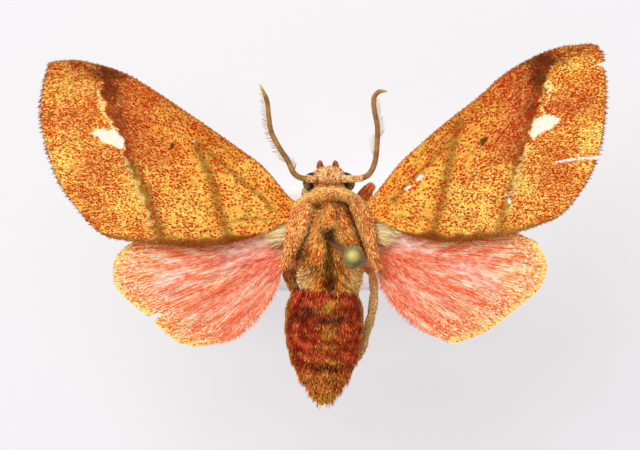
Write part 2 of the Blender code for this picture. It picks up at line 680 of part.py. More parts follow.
def collar(group):
    ring = cape_patch("collar", group, COLLAR_MIDDLES, COLLAR_HALF)
    locks = []
    for i in range(COLLAR_LOCKS):
        share = i / (COLLAR_LOCKS - 1) * 2 - 1
        x = COLLAR_SPREAD * share
        y = COLLAR_MIDDLES[2][1] - 0.05 - 0.17 * x * x
        locks.append(cape_lock(x, y, (0.15 * share, -1.0), 1.3 - 0.3 * share**2, 0.9, 0.2))
    combine(ring, locks)
    return ring


def shoulder_flap(name, group, side):
    middles = [(side * x + FLAP_SHIFT, y) for x, y in FLAP_MIDDLES]
    flap = cape_patch(name, group, middles, FLAP_HALF)
    locks = []
    for x, y, length in FLAP_ROWS:
        for column in (-1, 0, 1):
            place = side * (x + FLAP_SPACING * column) + FLAP_SHIFT
            lie = (side * (0.12 + 0.14 * column), -1.0)
            locks.append(cape_lock(place, y - 0.1 * abs(column), lie, length, 0.95))
    combine(flap, locks)
    return flap


def head(group):
    bm = ellipsoid(HEAD_CENTRE, HEAD_AXES, 20, 12)
    cut_flat(bm, (0, THORAX_FRONT + GAP, 0), (0, -1, 0))
    for side in (LEFT, RIGHT):
        cut_flat(bm, (side * HEAD_HALF_WIDTH, 0, 0), (side, 0, 0))
    skull = new_object("head", mesh_of(bm, "head"), group, "coat")
    locks = []
    for degrees, length, count in FACE_ROWS:
        turn = math.radians(degrees)
        for column in range(count):
            x = (column - (count - 1) / 2) * FACE_SPACING
            shrink = math.sqrt(1 - (x / HEAD_AXES.x) ** 2)
            point = HEAD_CENTRE + Vector((x, HEAD_AXES.y * shrink * math.cos(turn),
                                          HEAD_AXES.z * shrink * math.sin(turn)))
            up = normal_at(HEAD_CENTRE, HEAD_AXES, point)
            ahead = Vector((0.12 * x / MM, 1, 0.45))
            locks.append(lock(point, ahead - up * ahead.dot(up) * 0.55, up, length * MM, 0.7 * MM,
                              0.12 * MM, 0.1 * MM, 0.42 * MM))
    combine(skull, locks)
    return skull


def eye(name, group, side):
    bm = ellipsoid(Vector((side * EYE_PLACE.x, EYE_PLACE.y, EYE_PLACE.z)),
                   Vector((1, 1, 1)) * EYE_RADIUS, 16, 10)
    cut_flat(bm, (side * (HEAD_HALF_WIDTH + GAP), 0, 0), (-side, 0, 0))
    mesh = mesh_of(bm, name)
    shade_round(mesh)
    return new_object(name, mesh, group, "eye")


def palp(name, group, side):
    """One of the two short feelers under the face, curved up past its front."""
    points = []
    for out, y, z in PALP_PATH:
        x = side * (PALP_X + out) + PALP_SHIFT
        points.append(Vector((x, y, z)) * MM + Vector((0, 0, HEAD_CENTRE.z)))
    mesh = tube(points, [radius * MM for radius in PALP_RADII])
    shade_round(mesh)
    return new_object(name, mesh, group, "coat")


def antenna(name, group, path, side):
    """A feeler with a row of branches on each side, slanted towards the tip."""
    socket = (side * (HEAD_HALF_WIDTH + GAP) / MM, *ANTENNA_SOCKET)
    points = [Vector(p) * MM + Vector((0, 0, WING_PLANE)) for p in (socket, *path)]
    line = smooth_line(points, ANTENNA_STEP)
    thick, thin, tip = ANTENNA_RADII
    last = len(line) - 1
    radii = [(thick + (thin - thick) * i / last) * MM for i in range(last)] + [tip * MM]
    stem = new_object(name, tube(line, radii), group, "antenna")
    branches = []
    first, end = BRANCH_SHARES
    short, long = BRANCH_LENGTH
    for i in range(BRANCH_PAIRS):
        share = first + (end - first) * i / (BRANCH_PAIRS - 1)
        place = at_share(line, share)
        along = (at_share(line, min(1.0, share + 0.03)) - at_share(line, share - 0.03)).normalized()
        flat_out = along.cross(Vector((0, 0, 1))).normalized() * side
        swell = math.sin(math.pi * min(1.0, 0.3 + 0.75 * (1 - abs(2 * share - 1.05))) * 0.5)
        for out in (flat_out, (Vector((0, 0, -1)) - flat_out * 0.45).normalized()):
            aim = (out + along * BRANCH_SLANT).normalized()
            length = (short + (long - short) * swell) * MM
            branches.append(spine(place, aim, along, length, BRANCH_HALF))
    combine(stem, branches)
    return stem


def spine(root, aim, along, length, half):
    """A four-sided spine from the middle of a stem, wide along it."""
    across = aim.cross(along).normalized()
    wide = across.cross(aim).normalized()
    bm = bmesh.new()
    ring = [root + wide * half, root + across * half * 0.7, root - wide * half, root - across * half * 0.7]
    loft(bm, [ring], root + aim * length)
    return mesh_of(bm, "spine")


def abdomen_radius(y):
    """Half of the abdomen's width under its coat, with a low lip at each segment's rear edge."""
    points = [Vector(p) * MM for p in ABDOMEN_PROFILE]
    for a, b in zip(points, points[1:]):
        if y >= b.x:
            share = (a.x - y) / (a.x - b.x)
            smooth = share * share * (3 - 2 * share)
            plain = a.y + (b.y - a.y) * (share * 0.6 + smooth * 0.4)
            back = (points[0].x - y) / SEGMENT_LENGTH % 1.0
            return plain + SEGMENT_LIP * (back - 0.5)
    return points[-1].y


def abdomen_point(y, angle, out=0.0):
    """A point of the abdomen's skin, by its place along the body and its angle from the top."""
    radius = abdomen_radius(y) + out
    droop = ABDOMEN_DROOP * (y - ABDOMEN_PROFILE[0][0] * MM)
    return Vector((ABDOMEN_X + radius * math.sin(angle), y,
                   ABDOMEN_Z + droop + ABDOMEN_FLATTEN * radius * math.cos(angle)))


def abdomen(group):
    front, rear = ABDOMEN_PROFILE[0][0] * MM, ABDOMEN_PROFILE[-1][0] * MM
    rows = [front - SEGMENT_LENGTH * step for step in (0.0, 0.55, 0.97)]
    while rows[-1] - 0.55 * SEGMENT_LENGTH > rear:
        whole = round((front - rows[-1]) / SEGMENT_LENGTH)
        rows += [front - SEGMENT_LENGTH * (whole + step) for step in (0.03, 0.97)]
    rows = [y for y in rows if y > rear + 0.15 * MM]
    turns = [2 * math.pi * i / ABDOMEN_SIDES for i in range(ABDOMEN_SIDES)]
    bm = bmesh.new()
    loft(bm, [[abdomen_point(y, turn) for turn in turns] for y in rows],
         abdomen_point(rear, 0, -abdomen_radius(rear)))
    body = new_object("abdomen", mesh_of(bm, "abdomen"), group, "abdomen")
    draw = random.Random(11)
    locks = []
    for y, places, length, width, rise in ABDOMEN_TUFTS:
        for degrees in places:
            angle = math.radians(degrees)
            point = abdomen_point(y * MM, angle)
            behind = abdomen_point((y - 0.5) * MM, angle)
            up = Vector((math.sin(angle), 0, math.cos(angle) / ABDOMEN_FLATTEN))
            locks.append(lock(point, behind - point, up, length * draw.uniform(0.9, 1.1) * MM, width * MM,
                              rise * MM, 0.22 * MM))
    combine(body, locks)
    return body


def leg(name, group):
    """Thigh, shin and foot in one bent limb, thickest at the thigh and narrower at its joints."""
    hip = Vector((*LEGS[name][0], 0)) * MM
    hip.z = 2 * THORAX_CENTRE.z - top_of(THORAX_CENTRE, THORAX_AXES, hip.x, hip.y)
    out = normal_at(THORAX_CENTRE, THORAX_AXES, hip)
    joints = [Vector(place) * MM + Vector((0, 0, WING_PLANE)) for place in LEGS[name][1:]]
    line = smooth_line([hip + out * GAP, hip + out * (GAP + HIP), *joints], LEG_STEP)
    radii = []
    for i, point in enumerate(line):
        reach = i / (len(line) - 1)
        thick = THIGH + (SHIN - THIGH) * min(1.0, 2 * reach) + (FOOT - SHIN) * max(0.0, 2 * reach - 1)
        at_joint = min((point - joint).length for joint in joints) < LEG_STEP / 2
        radii.append(thick * (JOINT_NECK if at_joint else 1.0))
    radii[-1] = CLAW
    mesh = tube(line, radii)
    shade_round(mesh)
    return new_object(name, mesh, group, "leg")


# The pin and the base


def pin_place(height):
    """The middle of the pin at this height above the floor."""
    entry = Vector((*PIN_ENTRY, top_of(THORAX_CENTRE, THORAX_AXES, *PIN_ENTRY)))
    return entry + PIN_LEAN * (height - entry.z)


def pin_rod(low, high, radius, name):
    """A straight cylinder along the pin's line between two heights."""
    start, end = pin_place(low), pin_place(high)
    bm = bmesh.new()
    bmesh.ops.create_cone(bm, cap_ends=True, segments=20, radius1=radius, radius2=radius,
                          depth=(end - start).length)
    turn = (end - start).to_track_quat("Z", "Y").to_matrix().to_4x4()
    bmesh.ops.transform(bm, matrix=Matrix.Translation((start + end) / 2) @ turn, verts=bm.verts)
    return mesh_of(bm, name)


def pin_clearance():
    return pin_rod(WING_PLANE - 6 * MM, WING_PLANE + 6 * MM, PIN_RADIUS + GAP, "pin_clearance")


def pin(group):
    foot = BASE_SIZE.z - PIN_SUNK
    upright = PIN_LENGTH / PIN_LEAN.length
    middle = foot + upright - PIN_HEAD_RADIUS
    neck = middle - 0.8 * PIN_HEAD_RADIUS
    shaft = pin_rod(foot, neck - GAP, PIN_RADIUS, "pin_shaft")
    shade_round(shaft)
    new_object("pin_shaft", shaft, group, "pin")
    bm = ellipsoid(pin_place(middle), Vector((1, 1, 1)) * PIN_HEAD_RADIUS, 20, 12)
    cut_flat(bm, pin_place(neck), -PIN_LEAN)
    ball = mesh_of(bm, "pin_head")
    shade_round(ball)
    new_object("pin_head", ball, group, "pin_head")


def stand_base(group):
    bm = bmesh.new()
    bmesh.ops.create_cube(bm, size=1.0)
    placed = Matrix.Translation((0, 0, BASE_SIZE.z / 2)) @ Matrix.Diagonal((*BASE_SIZE, 1))
    bmesh.ops.transform(bm, matrix=placed, verts=bm.verts)
    upper = [e for e in bm.edges if min(v.co.z for v in e.verts) > BASE_SIZE.z / 2
             or abs(e.verts[0].co.z - e.verts[1].co.z) > BASE_SIZE.z / 2]
    bmesh.ops.bevel(bm, geom=upper, offset=BASE_BEVEL, segments=3, profile=0.5, affect="EDGES")
    base = new_object("stand_base", mesh_of(bm, "stand_base"), group, "base")
    hole = pin_rod(BASE_SIZE.z - PIN_SUNK - GAP, BASE_SIZE.z + 2 * MM, PIN_RADIUS + GAP, "hole")
    combine(base, [hole], "DIFFERENCE")
    return base


def main():
    clear_scene()
    moth = bpy.data.collections.new("pinned_moth")
    bpy.context.scene.collection.children.link(moth)
    thorax(moth)
    abdomen(moth)
    head(moth)
    collar(moth)
    for word, side in (("left", LEFT), ("right", RIGHT)):
        eye("eye_" + word, moth, side)
        palp("palp_" + word, moth, side)
        shoulder_flap("shoulder_flap_" + word, moth, side)
    antenna("antenna_left", moth, ANTENNA_LEFT, LEFT)
    antenna("antenna_right", moth, ANTENNA_RIGHT, RIGHT)
    wing("forewing_left", moth, FOREWING_LEFT, FOREWING_ROOT, FOREWING_VEINS)
    wing("forewing_right", moth, FOREWING_RIGHT, FOREWING_ROOT, FOREWING_VEINS, nicks=(APEX_NICK, TEAR))
    wing("hindwing_left", moth, HINDWING_LEFT, HINDWING_ROOT, HINDWING_VEINS, HINDWING_DROP, (REAR_NICK,))
    wing("hindwing_right", moth, HINDWING_RIGHT, HINDWING_ROOT, HINDWING_VEINS, HINDWING_DROP)
    for name in LEGS:
        leg(name, moth)
    pin(moth)
    stand_base(moth)


main()
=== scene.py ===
# %% [markdown]
# # A spread and pinned tiger moth, at life size
#
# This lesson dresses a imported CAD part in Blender. Each of the moth's solids gets the surface that
# the real insect has: wings covered in rows of coloured scales, a trunk under long soft hair, an
# abdomen under short down, and the glint of its eyes and its pin.
#
# Sizes are in millimetres, because an insect is measured in them. Blender works in metres, so each
# finished array is multiplied by MM once, when it becomes a mesh.

import math

import bpy
import numpy as np
from mathutils import Matrix, Vector, kdtree
from numpy.random import default_rng


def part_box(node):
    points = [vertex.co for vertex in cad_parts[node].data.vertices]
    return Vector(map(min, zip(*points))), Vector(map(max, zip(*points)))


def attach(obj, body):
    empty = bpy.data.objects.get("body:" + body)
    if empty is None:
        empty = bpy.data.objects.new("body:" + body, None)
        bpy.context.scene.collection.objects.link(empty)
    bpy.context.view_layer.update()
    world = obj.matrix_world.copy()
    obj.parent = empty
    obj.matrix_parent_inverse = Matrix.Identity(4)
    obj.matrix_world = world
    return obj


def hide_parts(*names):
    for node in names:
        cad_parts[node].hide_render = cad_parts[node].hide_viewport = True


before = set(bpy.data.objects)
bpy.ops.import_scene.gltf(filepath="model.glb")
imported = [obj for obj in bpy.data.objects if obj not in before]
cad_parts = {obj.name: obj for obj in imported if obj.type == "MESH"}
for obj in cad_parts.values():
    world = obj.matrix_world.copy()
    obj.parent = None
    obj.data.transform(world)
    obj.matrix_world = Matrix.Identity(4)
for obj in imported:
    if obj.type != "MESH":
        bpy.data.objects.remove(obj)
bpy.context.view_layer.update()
MM = 0.001
LEFT, RIGHT = -1, 1

# %% [markdown]
# ## Camera, light and floor
#
# A collection photograph is taken from straight above with a long lens, so that nothing on the wings
# is foreshortened. The camera looks down from a quarter of a metre.
#
# The light is a bright, even sky with one large soft lamp, as a museum's copy stand has. The floor
# glows a little, as a light table does, so the moth casts almost no shadow on it.

# %% Camera
WING_PLANE = 25.5
CAMERA_PLACE = (-0.72, 1.2)
CAMERA_DISTANCE = 250.0
VIEW_WIDTH, SENSOR_WIDTH = 51.2, 36.0
CLIP_RANGE = (0.01, 10.0)

camera_data = bpy.data.cameras.new("camera")
camera = bpy.data.objects.new("camera", camera_data)
bpy.context.scene.collection.objects.link(camera)
camera.location = Vector((*CAMERA_PLACE, WING_PLANE + CAMERA_DISTANCE)) * MM
camera_data.sensor_width = SENSOR_WIDTH
camera_data.lens = SENSOR_WIDTH * CAMERA_DISTANCE / VIEW_WIDTH
camera_data.clip_start, camera_data.clip_end = CLIP_RANGE
bpy.context.scene.camera = camera
bpy.context.scene.view_settings.view_transform = "Standard"
print("lens in mm:", round(camera_data.lens, 1))


# %% Colours, and a plain material for the floor
def colour(code):
    """The linear values of a colour written as on a colour picker."""
    levels = [int(code[i:i + 2], 16) / 255 for i in (1, 3, 5)]
    return (*[v / 12.92 if v <= 0.04045 else ((v + 0.055) / 1.055) ** 2.4 for v in levels], 1.0)


def new_material(name, roughness):
    """A Principled material, its node tree and its shader node."""
    made = bpy.data.materials.new(name)
    made.use_nodes = True
    shader = made.node_tree.nodes["Principled BSDF"]
    shader.inputs["Roughness"].default_value = roughness
    return made, made.node_tree, shader


# %% Floor and light
FLOOR_HALF = 1.5
FLOOR_COLOUR = (0.38, 0.38, 0.39, 1.0)
FLOOR_GLOW, GLOW_STRENGTH = (1.0, 0.99, 1.02, 1.0), 0.5
SKY_COLOUR, SKY_STRENGTH = (1.0, 0.99, 0.97, 1.0), 0.52
LAMP_PLACE = Vector((-0.16, 0.22, 0.42))
LAMP_SIZE, LAMP_POWER = 0.36, 1.85

bpy.ops.object.select_all(action="DESELECT")
bpy.ops.mesh.primitive_plane_add(size=2 * FLOOR_HALF, location=(0, 0, 0))
floor = bpy.context.object
floor.name = "floor"
floor_material, _, floor_shader = new_material("pale_floor", 0.9)
floor_shader.inputs["Base Color"].default_value = FLOOR_COLOUR
floor_shader.inputs["Emission Color"].default_value = FLOOR_GLOW
floor_shader.inputs["Emission Strength"].default_value = GLOW_STRENGTH
floor.data.materials.append(floor_material)

sky = bpy.data.worlds.new("studio")
sky.use_nodes = True
sky.node_tree.nodes["Background"].inputs["Color"].default_value = SKY_COLOUR
sky.node_tree.nodes["Background"].inputs["Strength"].default_value = SKY_STRENGTH
bpy.context.scene.world = sky

lamp_data = bpy.data.lights.new("soft_lamp", "AREA")
lamp_data.size = LAMP_SIZE
lamp_data.energy = LAMP_POWER
lamp = bpy.data.objects.new("soft_lamp", lamp_data)
lamp.location = LAMP_PLACE
lamp.rotation_euler = (-LAMP_PLACE).to_track_quat("-Z", "Y").to_euler()
bpy.context.scene.collection.objects.link(lamp)
print("floor, sky and lamp are in place")


# %% [markdown]
# ## Helpers for meshes
#
# A moth's coat is tens of thousands of small forms. An operator for each would take hours, so each
# coat is worked out as arrays of points and becomes one mesh in one step. Numbers that change over a
# mesh, such as how red a scale is, are stored on its points as attributes, and the materials read
# them by name.

# %% Meshes from arrays
def new_piece(name, points, faces, smooth=True):
    """An object at the origin, from points in millimetres and faces of equal size."""
    mesh = bpy.data.meshes.new(name)
    mesh.vertices.add(len(points))
    mesh.vertices.foreach_set("co", (np.asarray(points) * MM).astype(np.float32).ravel())
    mesh.loops.add(faces.size)
    mesh.loops.foreach_set("vertex_index", faces.astype(np.int32).ravel())
    mesh.polygons.add(len(faces))
    mesh.polygons.foreach_set("loop_start", np.arange(0, faces.size, faces.shape[1], dtype=np.int32))
    mesh.update(calc_edges=True)
    mesh.polygons.foreach_set("use_smooth", np.full(len(faces), smooth))
    obj = bpy.data.objects.new(name, mesh)
    bpy.context.scene.collection.objects.link(obj)
    return obj


def points_of(obj):
    """The mesh's points, one row for each, in metres."""
    flat = np.empty(len(obj.data.vertices) * 3, np.float32)
    obj.data.vertices.foreach_get("co", flat)
    return flat.reshape(-1, 3).astype(float)


def move_points(obj, points):
    """Moves the mesh's points to these places in millimetres."""
    obj.data.vertices.foreach_set("co", (points * MM).astype(np.float32).ravel())


def corners_of(obj):
    """The point that lies at each corner of each face."""
    corners = np.empty(len(obj.data.loops), np.int32)
    obj.data.loops.foreach_get("vertex_index", corners)
    return corners


def store(obj, **values):
    """Keeps numbers on the mesh's points under each name: one for each point, or one for all."""
    for name, numbers in values.items():
        full = np.empty(len(obj.data.vertices), np.float32)
        full[:] = numbers
        obj.data.attributes.new(name, "FLOAT", "POINT").data.foreach_set("value", full)


def lay_map(obj, places):
    """A UV map from one place for each point."""
    layer = obj.data.uv_layers.new(name="OFBake")
    layer.data.foreach_set("uv", places[corners_of(obj)].astype(np.float32).ravel())


# %% Operators and finishing
def select_only(*objects):
    """Selects these objects and no other, and makes the first of them the active one."""
    bpy.ops.object.select_all(action="DESELECT")
    for obj in objects:
        obj.select_set(True)
    if objects:
        bpy.context.view_layer.objects.active = objects[0]


def apply_modifier(obj, kind, **settings):
    """Adds a modifier of this kind with these settings, and applies it."""
    modifier = obj.modifiers.new(kind.lower(), kind)
    for name, value in settings.items():
        setattr(modifier, name, value)
    select_only(obj)
    bpy.ops.object.modifier_apply(modifier=modifier.name)


def shade_smooth(obj):
    obj.data.polygons.foreach_set("use_smooth", np.ones(len(obj.data.polygons), bool))


def face_up(obj):
    """Turns an open sheet's faces over if they look down, so that a thickness grows below it."""
    if sum(face.normal.z * face.area for face in obj.data.polygons) < 0:
        obj.data.flip_normals()


def triangles(obj):
    return sum(len(face.vertices) - 2 for face in obj.data.polygons)


def finish_piece(obj, material, replaced=()):
    """Gives a piece its material and its place on the part."""
    obj.data.materials.clear()
    obj.data.materials.append(material)
    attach(obj, "root")
    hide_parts(*replaced)
    print(obj.name, "has", triangles(obj), "triangles")


# %% Lines and distances
def unit(vectors):
    return vectors / np.maximum(np.linalg.norm(vectors, axis=-1, keepdims=True), 1e-9)


def smooth_line(points, per_span=10):
    """A Catmull-Rom line through the points."""
    points = np.array(points, float)
    ends = np.vstack([2 * points[0] - points[1], points, 2 * points[-1] - points[-2]])
    t = np.linspace(0, 1, per_span, endpoint=False)[:, None]
    spans = []
    for before, start, end, after in zip(ends, ends[1:], ends[2:], ends[3:]):
        spans.append(0.5 * (2 * start + (end - before) * t
                            + (2 * before - 5 * start + 4 * end - after) * t**2
                            + (3 * start - before - 3 * end + after) * t**3))
    return np.vstack([*spans, points[-1:]])


def steps_of(line):
    return np.linalg.norm(np.diff(line, axis=0), axis=1)


def at_share(line, share, values=None):
    """The line's places, or other values of its points, at these shares of its length."""
    values = line if values is None else values
    reached = np.concatenate([[0.0], np.cumsum(steps_of(line))]) / steps_of(line).sum()
    return np.stack([np.interp(share, reached, column) for column in values.T], axis=-1)


def line_distance(places, line):
    """How far each place is from a line."""
    least = np.full(len(places), 1e9)
    for a, b in zip(line, line[1:]):
        span = b - a
        share = np.clip((places - a) @ span / max(span @ span, 1e-12), 0, 1)
        least = np.minimum(least, np.linalg.norm(places - a - share[:, None] * span, axis=1))
    return least


def depth_inside(places, outline):
    """Distance from a closed outline: above 0 inside it, below 0 outside."""
    outline = np.array(outline, float)
    closed = np.vstack([outline, outline[:1]])
    x, y = places[:, 0], places[:, 1]
    odd = np.zeros(len(places), bool)
    for (ax, ay), (bx, by) in zip(closed, closed[1:]):
        crosses = (ay > y) != (by > y)
        with np.errstate(divide="ignore", invalid="ignore"):
            odd ^= crosses & (x < ax + (y - ay) * (bx - ax) / (by - ay))
    return np.where(odd, 1, -1) * line_distance(places, closed)


# %% Soft masks
def soft_step(value, low, high):
    """Rises from 0 at low to 1 at high, without a corner."""
    share = np.clip((value - low) / (high - low), 0, 1)
    return share * share * (3 - 2 * share)


def bell(value, middle, half):
    """1 at the middle, and less to both sides."""
    return np.exp(-((value - middle) / half) ** 2)


def ripple(places, size, seed):
    """A smooth random field from about -1 to 1 whose bumps are about this size."""
    draw = default_rng(seed)
    total = np.zeros(len(places))
    for _ in range(9):
        turn = draw.uniform(0, 2 * math.pi, places.shape[1])
        direction = unit(draw.normal(size=places.shape[1]))
        total += np.sin(places @ direction * 2 * math.pi / (size * draw.uniform(0.7, 1.5)) + turn[0])
    return total / 3.0


def waver(points, amount, size, seed):
    """The points' x and y, moved a little to and fro, which makes a mark's edges wavy."""
    sway = [ripple(points, size, seed), ripple(points, size, seed + 1)]
    return points[:, :2] + amount * np.stack(sway, axis=1)


def clouds(places, spots):
    """The strongest of several soft oval patches: x, y, half width, half height, degrees, strength."""
    most = np.zeros(len(places))
    for x, y, wide, high, degrees, strength in spots:
        turn = math.radians(degrees)
        dx, dy = places[:, 0] - x, places[:, 1] - y
        along = (dx * math.cos(turn) + dy * math.sin(turn)) / wide
        over = (dy * math.cos(turn) - dx * math.sin(turn)) / high
        most = np.maximum(most, strength * np.exp(-(along**2 + over**2)))
    return most


def strokes(places, marks, fall, per_span=6):
    """The strongest of several brush strokes: a line, a half width and a strength."""
    most = np.zeros(len(places))
    for line, half, strength in marks:
        near = line_distance(places, smooth_line(line, per_span))
        most = np.maximum(most, strength * fall(near, half))
    return most


def some(draw, count, share):
    """True for about this share of the points, picked at random."""
    return draw.uniform(size=count) < share


print("soft step half way up:", soft_step(0.5, 0, 1))

# %% [markdown]
# ## Node helpers and shared effects
#
# Materials are built from nodes. A few small functions put a node in a tree, mix two colours, work
# out a number and lay colours over one another, so that each material reads as a list of layers.
# A node takes its tree from the sockets that are linked to it.
#
# Three effects come back in several materials, so each is a node group with named inputs and
# outputs: the fine grain of overlapping scales, small scattered flecks, and the colour of hair,
# which has painted shade towards its root, where tufts cover one another, and differs from tuft to tuft.

# %% Node helpers
def feed(socket, value):
    """Links a node's output to a socket, or sets the socket to a plain value or a colour's code."""
    if isinstance(value, bpy.types.NodeSocket):
        socket.id_data.links.new(value, socket)
    else:
        socket.default_value = colour(value) if isinstance(value, str) else value


def put(tree, kind, inputs=None, **settings):
    """Adds a node with these settings, and feeds its inputs. With no tree given, theirs is used."""
    tree = tree or next(v.id_data for v in inputs.values() if isinstance(v, bpy.types.NodeSocket))
    node = tree.nodes.new(kind)
    for name, value in settings.items():
        setattr(node, name, value)
    for key, value in (inputs or {}).items():
        feed(node.inputs[key], value)
    return node


def mix(factor, first, second):
    """The colour between two colours. A Mix node's sockets for colours have the numbers 6 and 7."""
    return put(None, "ShaderNodeMix", {0: factor, 6: first, 7: second}, data_type="RGBA").outputs[2]


def calc(operation, *values):
    """One step of arithmetic."""
    return put(None, "ShaderNodeMath", dict(enumerate(values)), operation=operation).outputs[0]


def remap(value, low, high, to_low=0.0, to_high=1.0):
    """A number moved from one range to another, with soft ends."""
    inputs = {"Value": value, "From Min": low, "From Max": high, "To Min": to_low, "To Max": to_high}
    return put(None, "ShaderNodeMapRange", inputs, interpolation_type="SMOOTHSTEP").outputs["Result"]


def brighten(base, factor):
    return put(None, "ShaderNodeVectorMath", {0: base, 3: factor}, operation="SCALE").outputs[0]


def stored(tree, name):
    """The number that a mesh keeps for each point under this name."""
    return put(tree, "ShaderNodeAttribute", attribute_name=name).outputs["Fac"]


def lay(base, *layers):
    """Lays colours over a base. A layer is a mask or its stored name, a colour and maybe a strength."""
    for mask, code, *strength in layers:
        mask = stored(base.id_data, mask) if isinstance(mask, str) else mask
        base = mix(calc("MULTIPLY", mask, *(strength or [1.0])), base, code)
    return base


# %% Places, noise and relief
def object_place(tree):
    return put(tree, "ShaderNodeTexCoord").outputs["Object"]


def stretched(place, x, y, z):
    """The place with each direction scaled, which draws a noise out into lines."""
    return put(None, "ShaderNodeMapping", {"Vector": place, "Scale": (x, y, z)}).outputs[0]


def noise(place, size, detail=2.0, **inputs):
    """Noise whose bumps are about this many millimetres across."""
    settings = {"Vector": place, "Scale": 1 / (size * MM), "Detail": detail, **inputs}
    return put(None, "ShaderNodeTexNoise", settings).outputs["Fac"]


def bump(height, strength, depth, **settings):
    """A fine relief, of this depth in millimetres."""
    inputs = {"Height": height, "Strength": strength, "Distance": depth * MM}
    return put(None, "ShaderNodeBump", inputs, **settings).outputs["Normal"]


def wire(shader, **values):
    """Feeds the shader's inputs. Underscores in the names stand for spaces."""
    for name, value in values.items():
        feed(shader.inputs[name.replace("_", " ")], value)


# %% Node groups
FLOAT, COLOUR, VECTOR = "NodeSocketFloat", "NodeSocketColor", "NodeSocketVector"


def new_group(name, inputs, outputs):
    """An empty node group with these sockets, and its input and output nodes."""
    tree = bpy.data.node_groups.new(name, "ShaderNodeTree")
    for socket, (kind, value) in inputs.items():
        made = tree.interface.new_socket(socket, in_out="INPUT", socket_type=kind)
        made.default_value = value
    for socket, kind in outputs.items():
        tree.interface.new_socket(socket, in_out="OUTPUT", socket_type=kind)
    return tree, tree.nodes.new("NodeGroupInput").outputs, tree.nodes.new("NodeGroupOutput").inputs


def place_group(tree, group, **inputs):
    """Puts a node group in a tree."""
    return put(tree, "ShaderNodeGroup", inputs, node_tree=group).outputs


def cell_chance(cells, channel):
    """A random number for each Voronoi cell, from one channel of its colour."""
    return put(None, "ShaderNodeSeparateColor", {"Color": cells.outputs["Color"]}).outputs[channel]


# %% Group: the grain of small overlapping scales
GRAIN_DEPTH = 0.02
DRY_SHINE, PLAIN_SHINE = 0.12, 0.5


def make_grain():
    inputs = {"Place": (VECTOR, (0, 0, 0)), "Size": (FLOAT, 0.1)}
    tree, given, result = new_group("scale_grain", inputs, {"Tone": FLOAT, "Height": FLOAT})
    settings = {"Vector": given["Place"], "Scale": calc("DIVIDE", 1 / MM, given["Size"])}
    cells = put(tree, "ShaderNodeTexVoronoi", settings)
    cloud = put(tree, "ShaderNodeTexNoise", {**settings, "Detail": 3.0}).outputs["Fac"]
    cloud = calc("MULTIPLY", cloud, 0.4)
    feed(result["Tone"], calc("MULTIPLY_ADD", cell_chance(cells, "Red"), 0.6, cloud))
    feed(result["Height"], calc("SUBTRACT", 1.0, cells.outputs["Distance"]))
    return tree


def finish_grained(shader, hue, grained, strength, low, high, shine=DRY_SHINE):
    """Gives a grained surface its colour, its relief and a roughness between these two."""
    wire(shader, Base_Color=hue, Normal=bump(grained["Height"], strength, GRAIN_DEPTH),
         Roughness=remap(grained["Tone"], 0, 1, low, high), Specular_IOR_Level=shine)


grain = make_grain()
print("group:", grain.name)


# %% Group: scattered flecks
def make_flecks():
    """Round flecks in the middle of random cells. Amount is the share of cells that have one."""
    inputs = {"Place": (VECTOR, (0, 0, 0)), "Spacing": (FLOAT, 0.4), "Radius": (FLOAT, 0.3),
              "Amount": (FLOAT, 0.8)}
    tree, given, result = new_group("flecks", inputs, {"Mask": FLOAT})
    per_metre = calc("DIVIDE", 1 / MM, given["Spacing"])
    settings = {"Vector": given["Place"], "Scale": per_metre, "Randomness": 0.85}
    cells = put(tree, "ShaderNodeTexVoronoi", settings)
    there = calc("LESS_THAN", cell_chance(cells, "Green"), given["Amount"])
    near = calc("SUBTRACT", given["Radius"], cells.outputs["Distance"])
    feed(result["Mask"], calc("MULTIPLY", remap(near, -0.05, 0.05), there))
    return tree


flecks = make_flecks()
print("group:", flecks.name)


# %% Group: the colour of hair
def make_hair_colour():
    """Ground, fleck, shade and pale colours mixed by what the tufts keep on their points."""
    inputs = {"Ground": (COLOUR, (0.7, 0.4, 0.2, 1)), "Fleck": (COLOUR, (0.6, 0.1, 0.05, 1)),
              "Shade": (COLOUR, (0.1, 0.03, 0.01, 1)), "Pale": (COLOUR, (0.9, 0.8, 0.5, 1)),
              "Root": (FLOAT, 0.55)}
    tree, given, result = new_group("hair_colour", inputs, {"Colour": COLOUR})
    base = given["Ground"]
    for mask in ("fleck", "pale", "shade"):
        base = mix(stored(tree, mask), base, given[mask.capitalize()])
    bright = remap(stored(tree, "tone"), 0.0, 1.0, 0.74, 1.28)
    # Painted shade: each tuft is darker towards its root, where other tufts cover it
    root = remap(stored(tree, "tip"), 0.0, 0.7, given["Root"], 1.0)
    feed(result["Colour"], brighten(base, calc("MULTIPLY", bright, root)))
    return tree


hair_colour = make_hair_colour()
print("group:", hair_colour.name)


# %% [markdown]
# ## Small forms by the thousand
#
# Two forms cover the moth. A tuft is a few hairs that cling together: a three-sided blade that leaves
# the skin, bends with the lie of the coat and ends in a point. A scale is a flat plate that overlaps
# the next, like a roof tile. Both are one pattern of points, bent, turned and sized for every root.

# %% Many small forms in one mesh
MAP_PATCH = 0.003


def square_to(ups, lies):
    """The lie turned square to the way up, and the direction across both."""
    lies = unit(lies - ups * np.sum(lies * ups, axis=1, keepdims=True))
    return lies, np.cross(lies, ups)


def small_forms(name, points, pattern, places, patch, **marks):
    """One mesh of forms, each with its own patch of the map and its own number for each mark."""
    count, size = points.shape[:2]
    faces = np.array(pattern)[None] + size * np.arange(count)[:, None, None]
    obj = new_piece(name, points.reshape(-1, 3), faces.reshape(-1, len(pattern[0])), smooth=False)
    on_map = places[:, None] * (1 - MAP_PATCH) + np.array(patch)[None] * MAP_PATCH
    lay_map(obj, on_map.reshape(-1, 2))
    for mark, numbers in marks.items():
        store(obj, **{mark: np.repeat(np.broadcast_to(numbers, count), size)})
    return obj


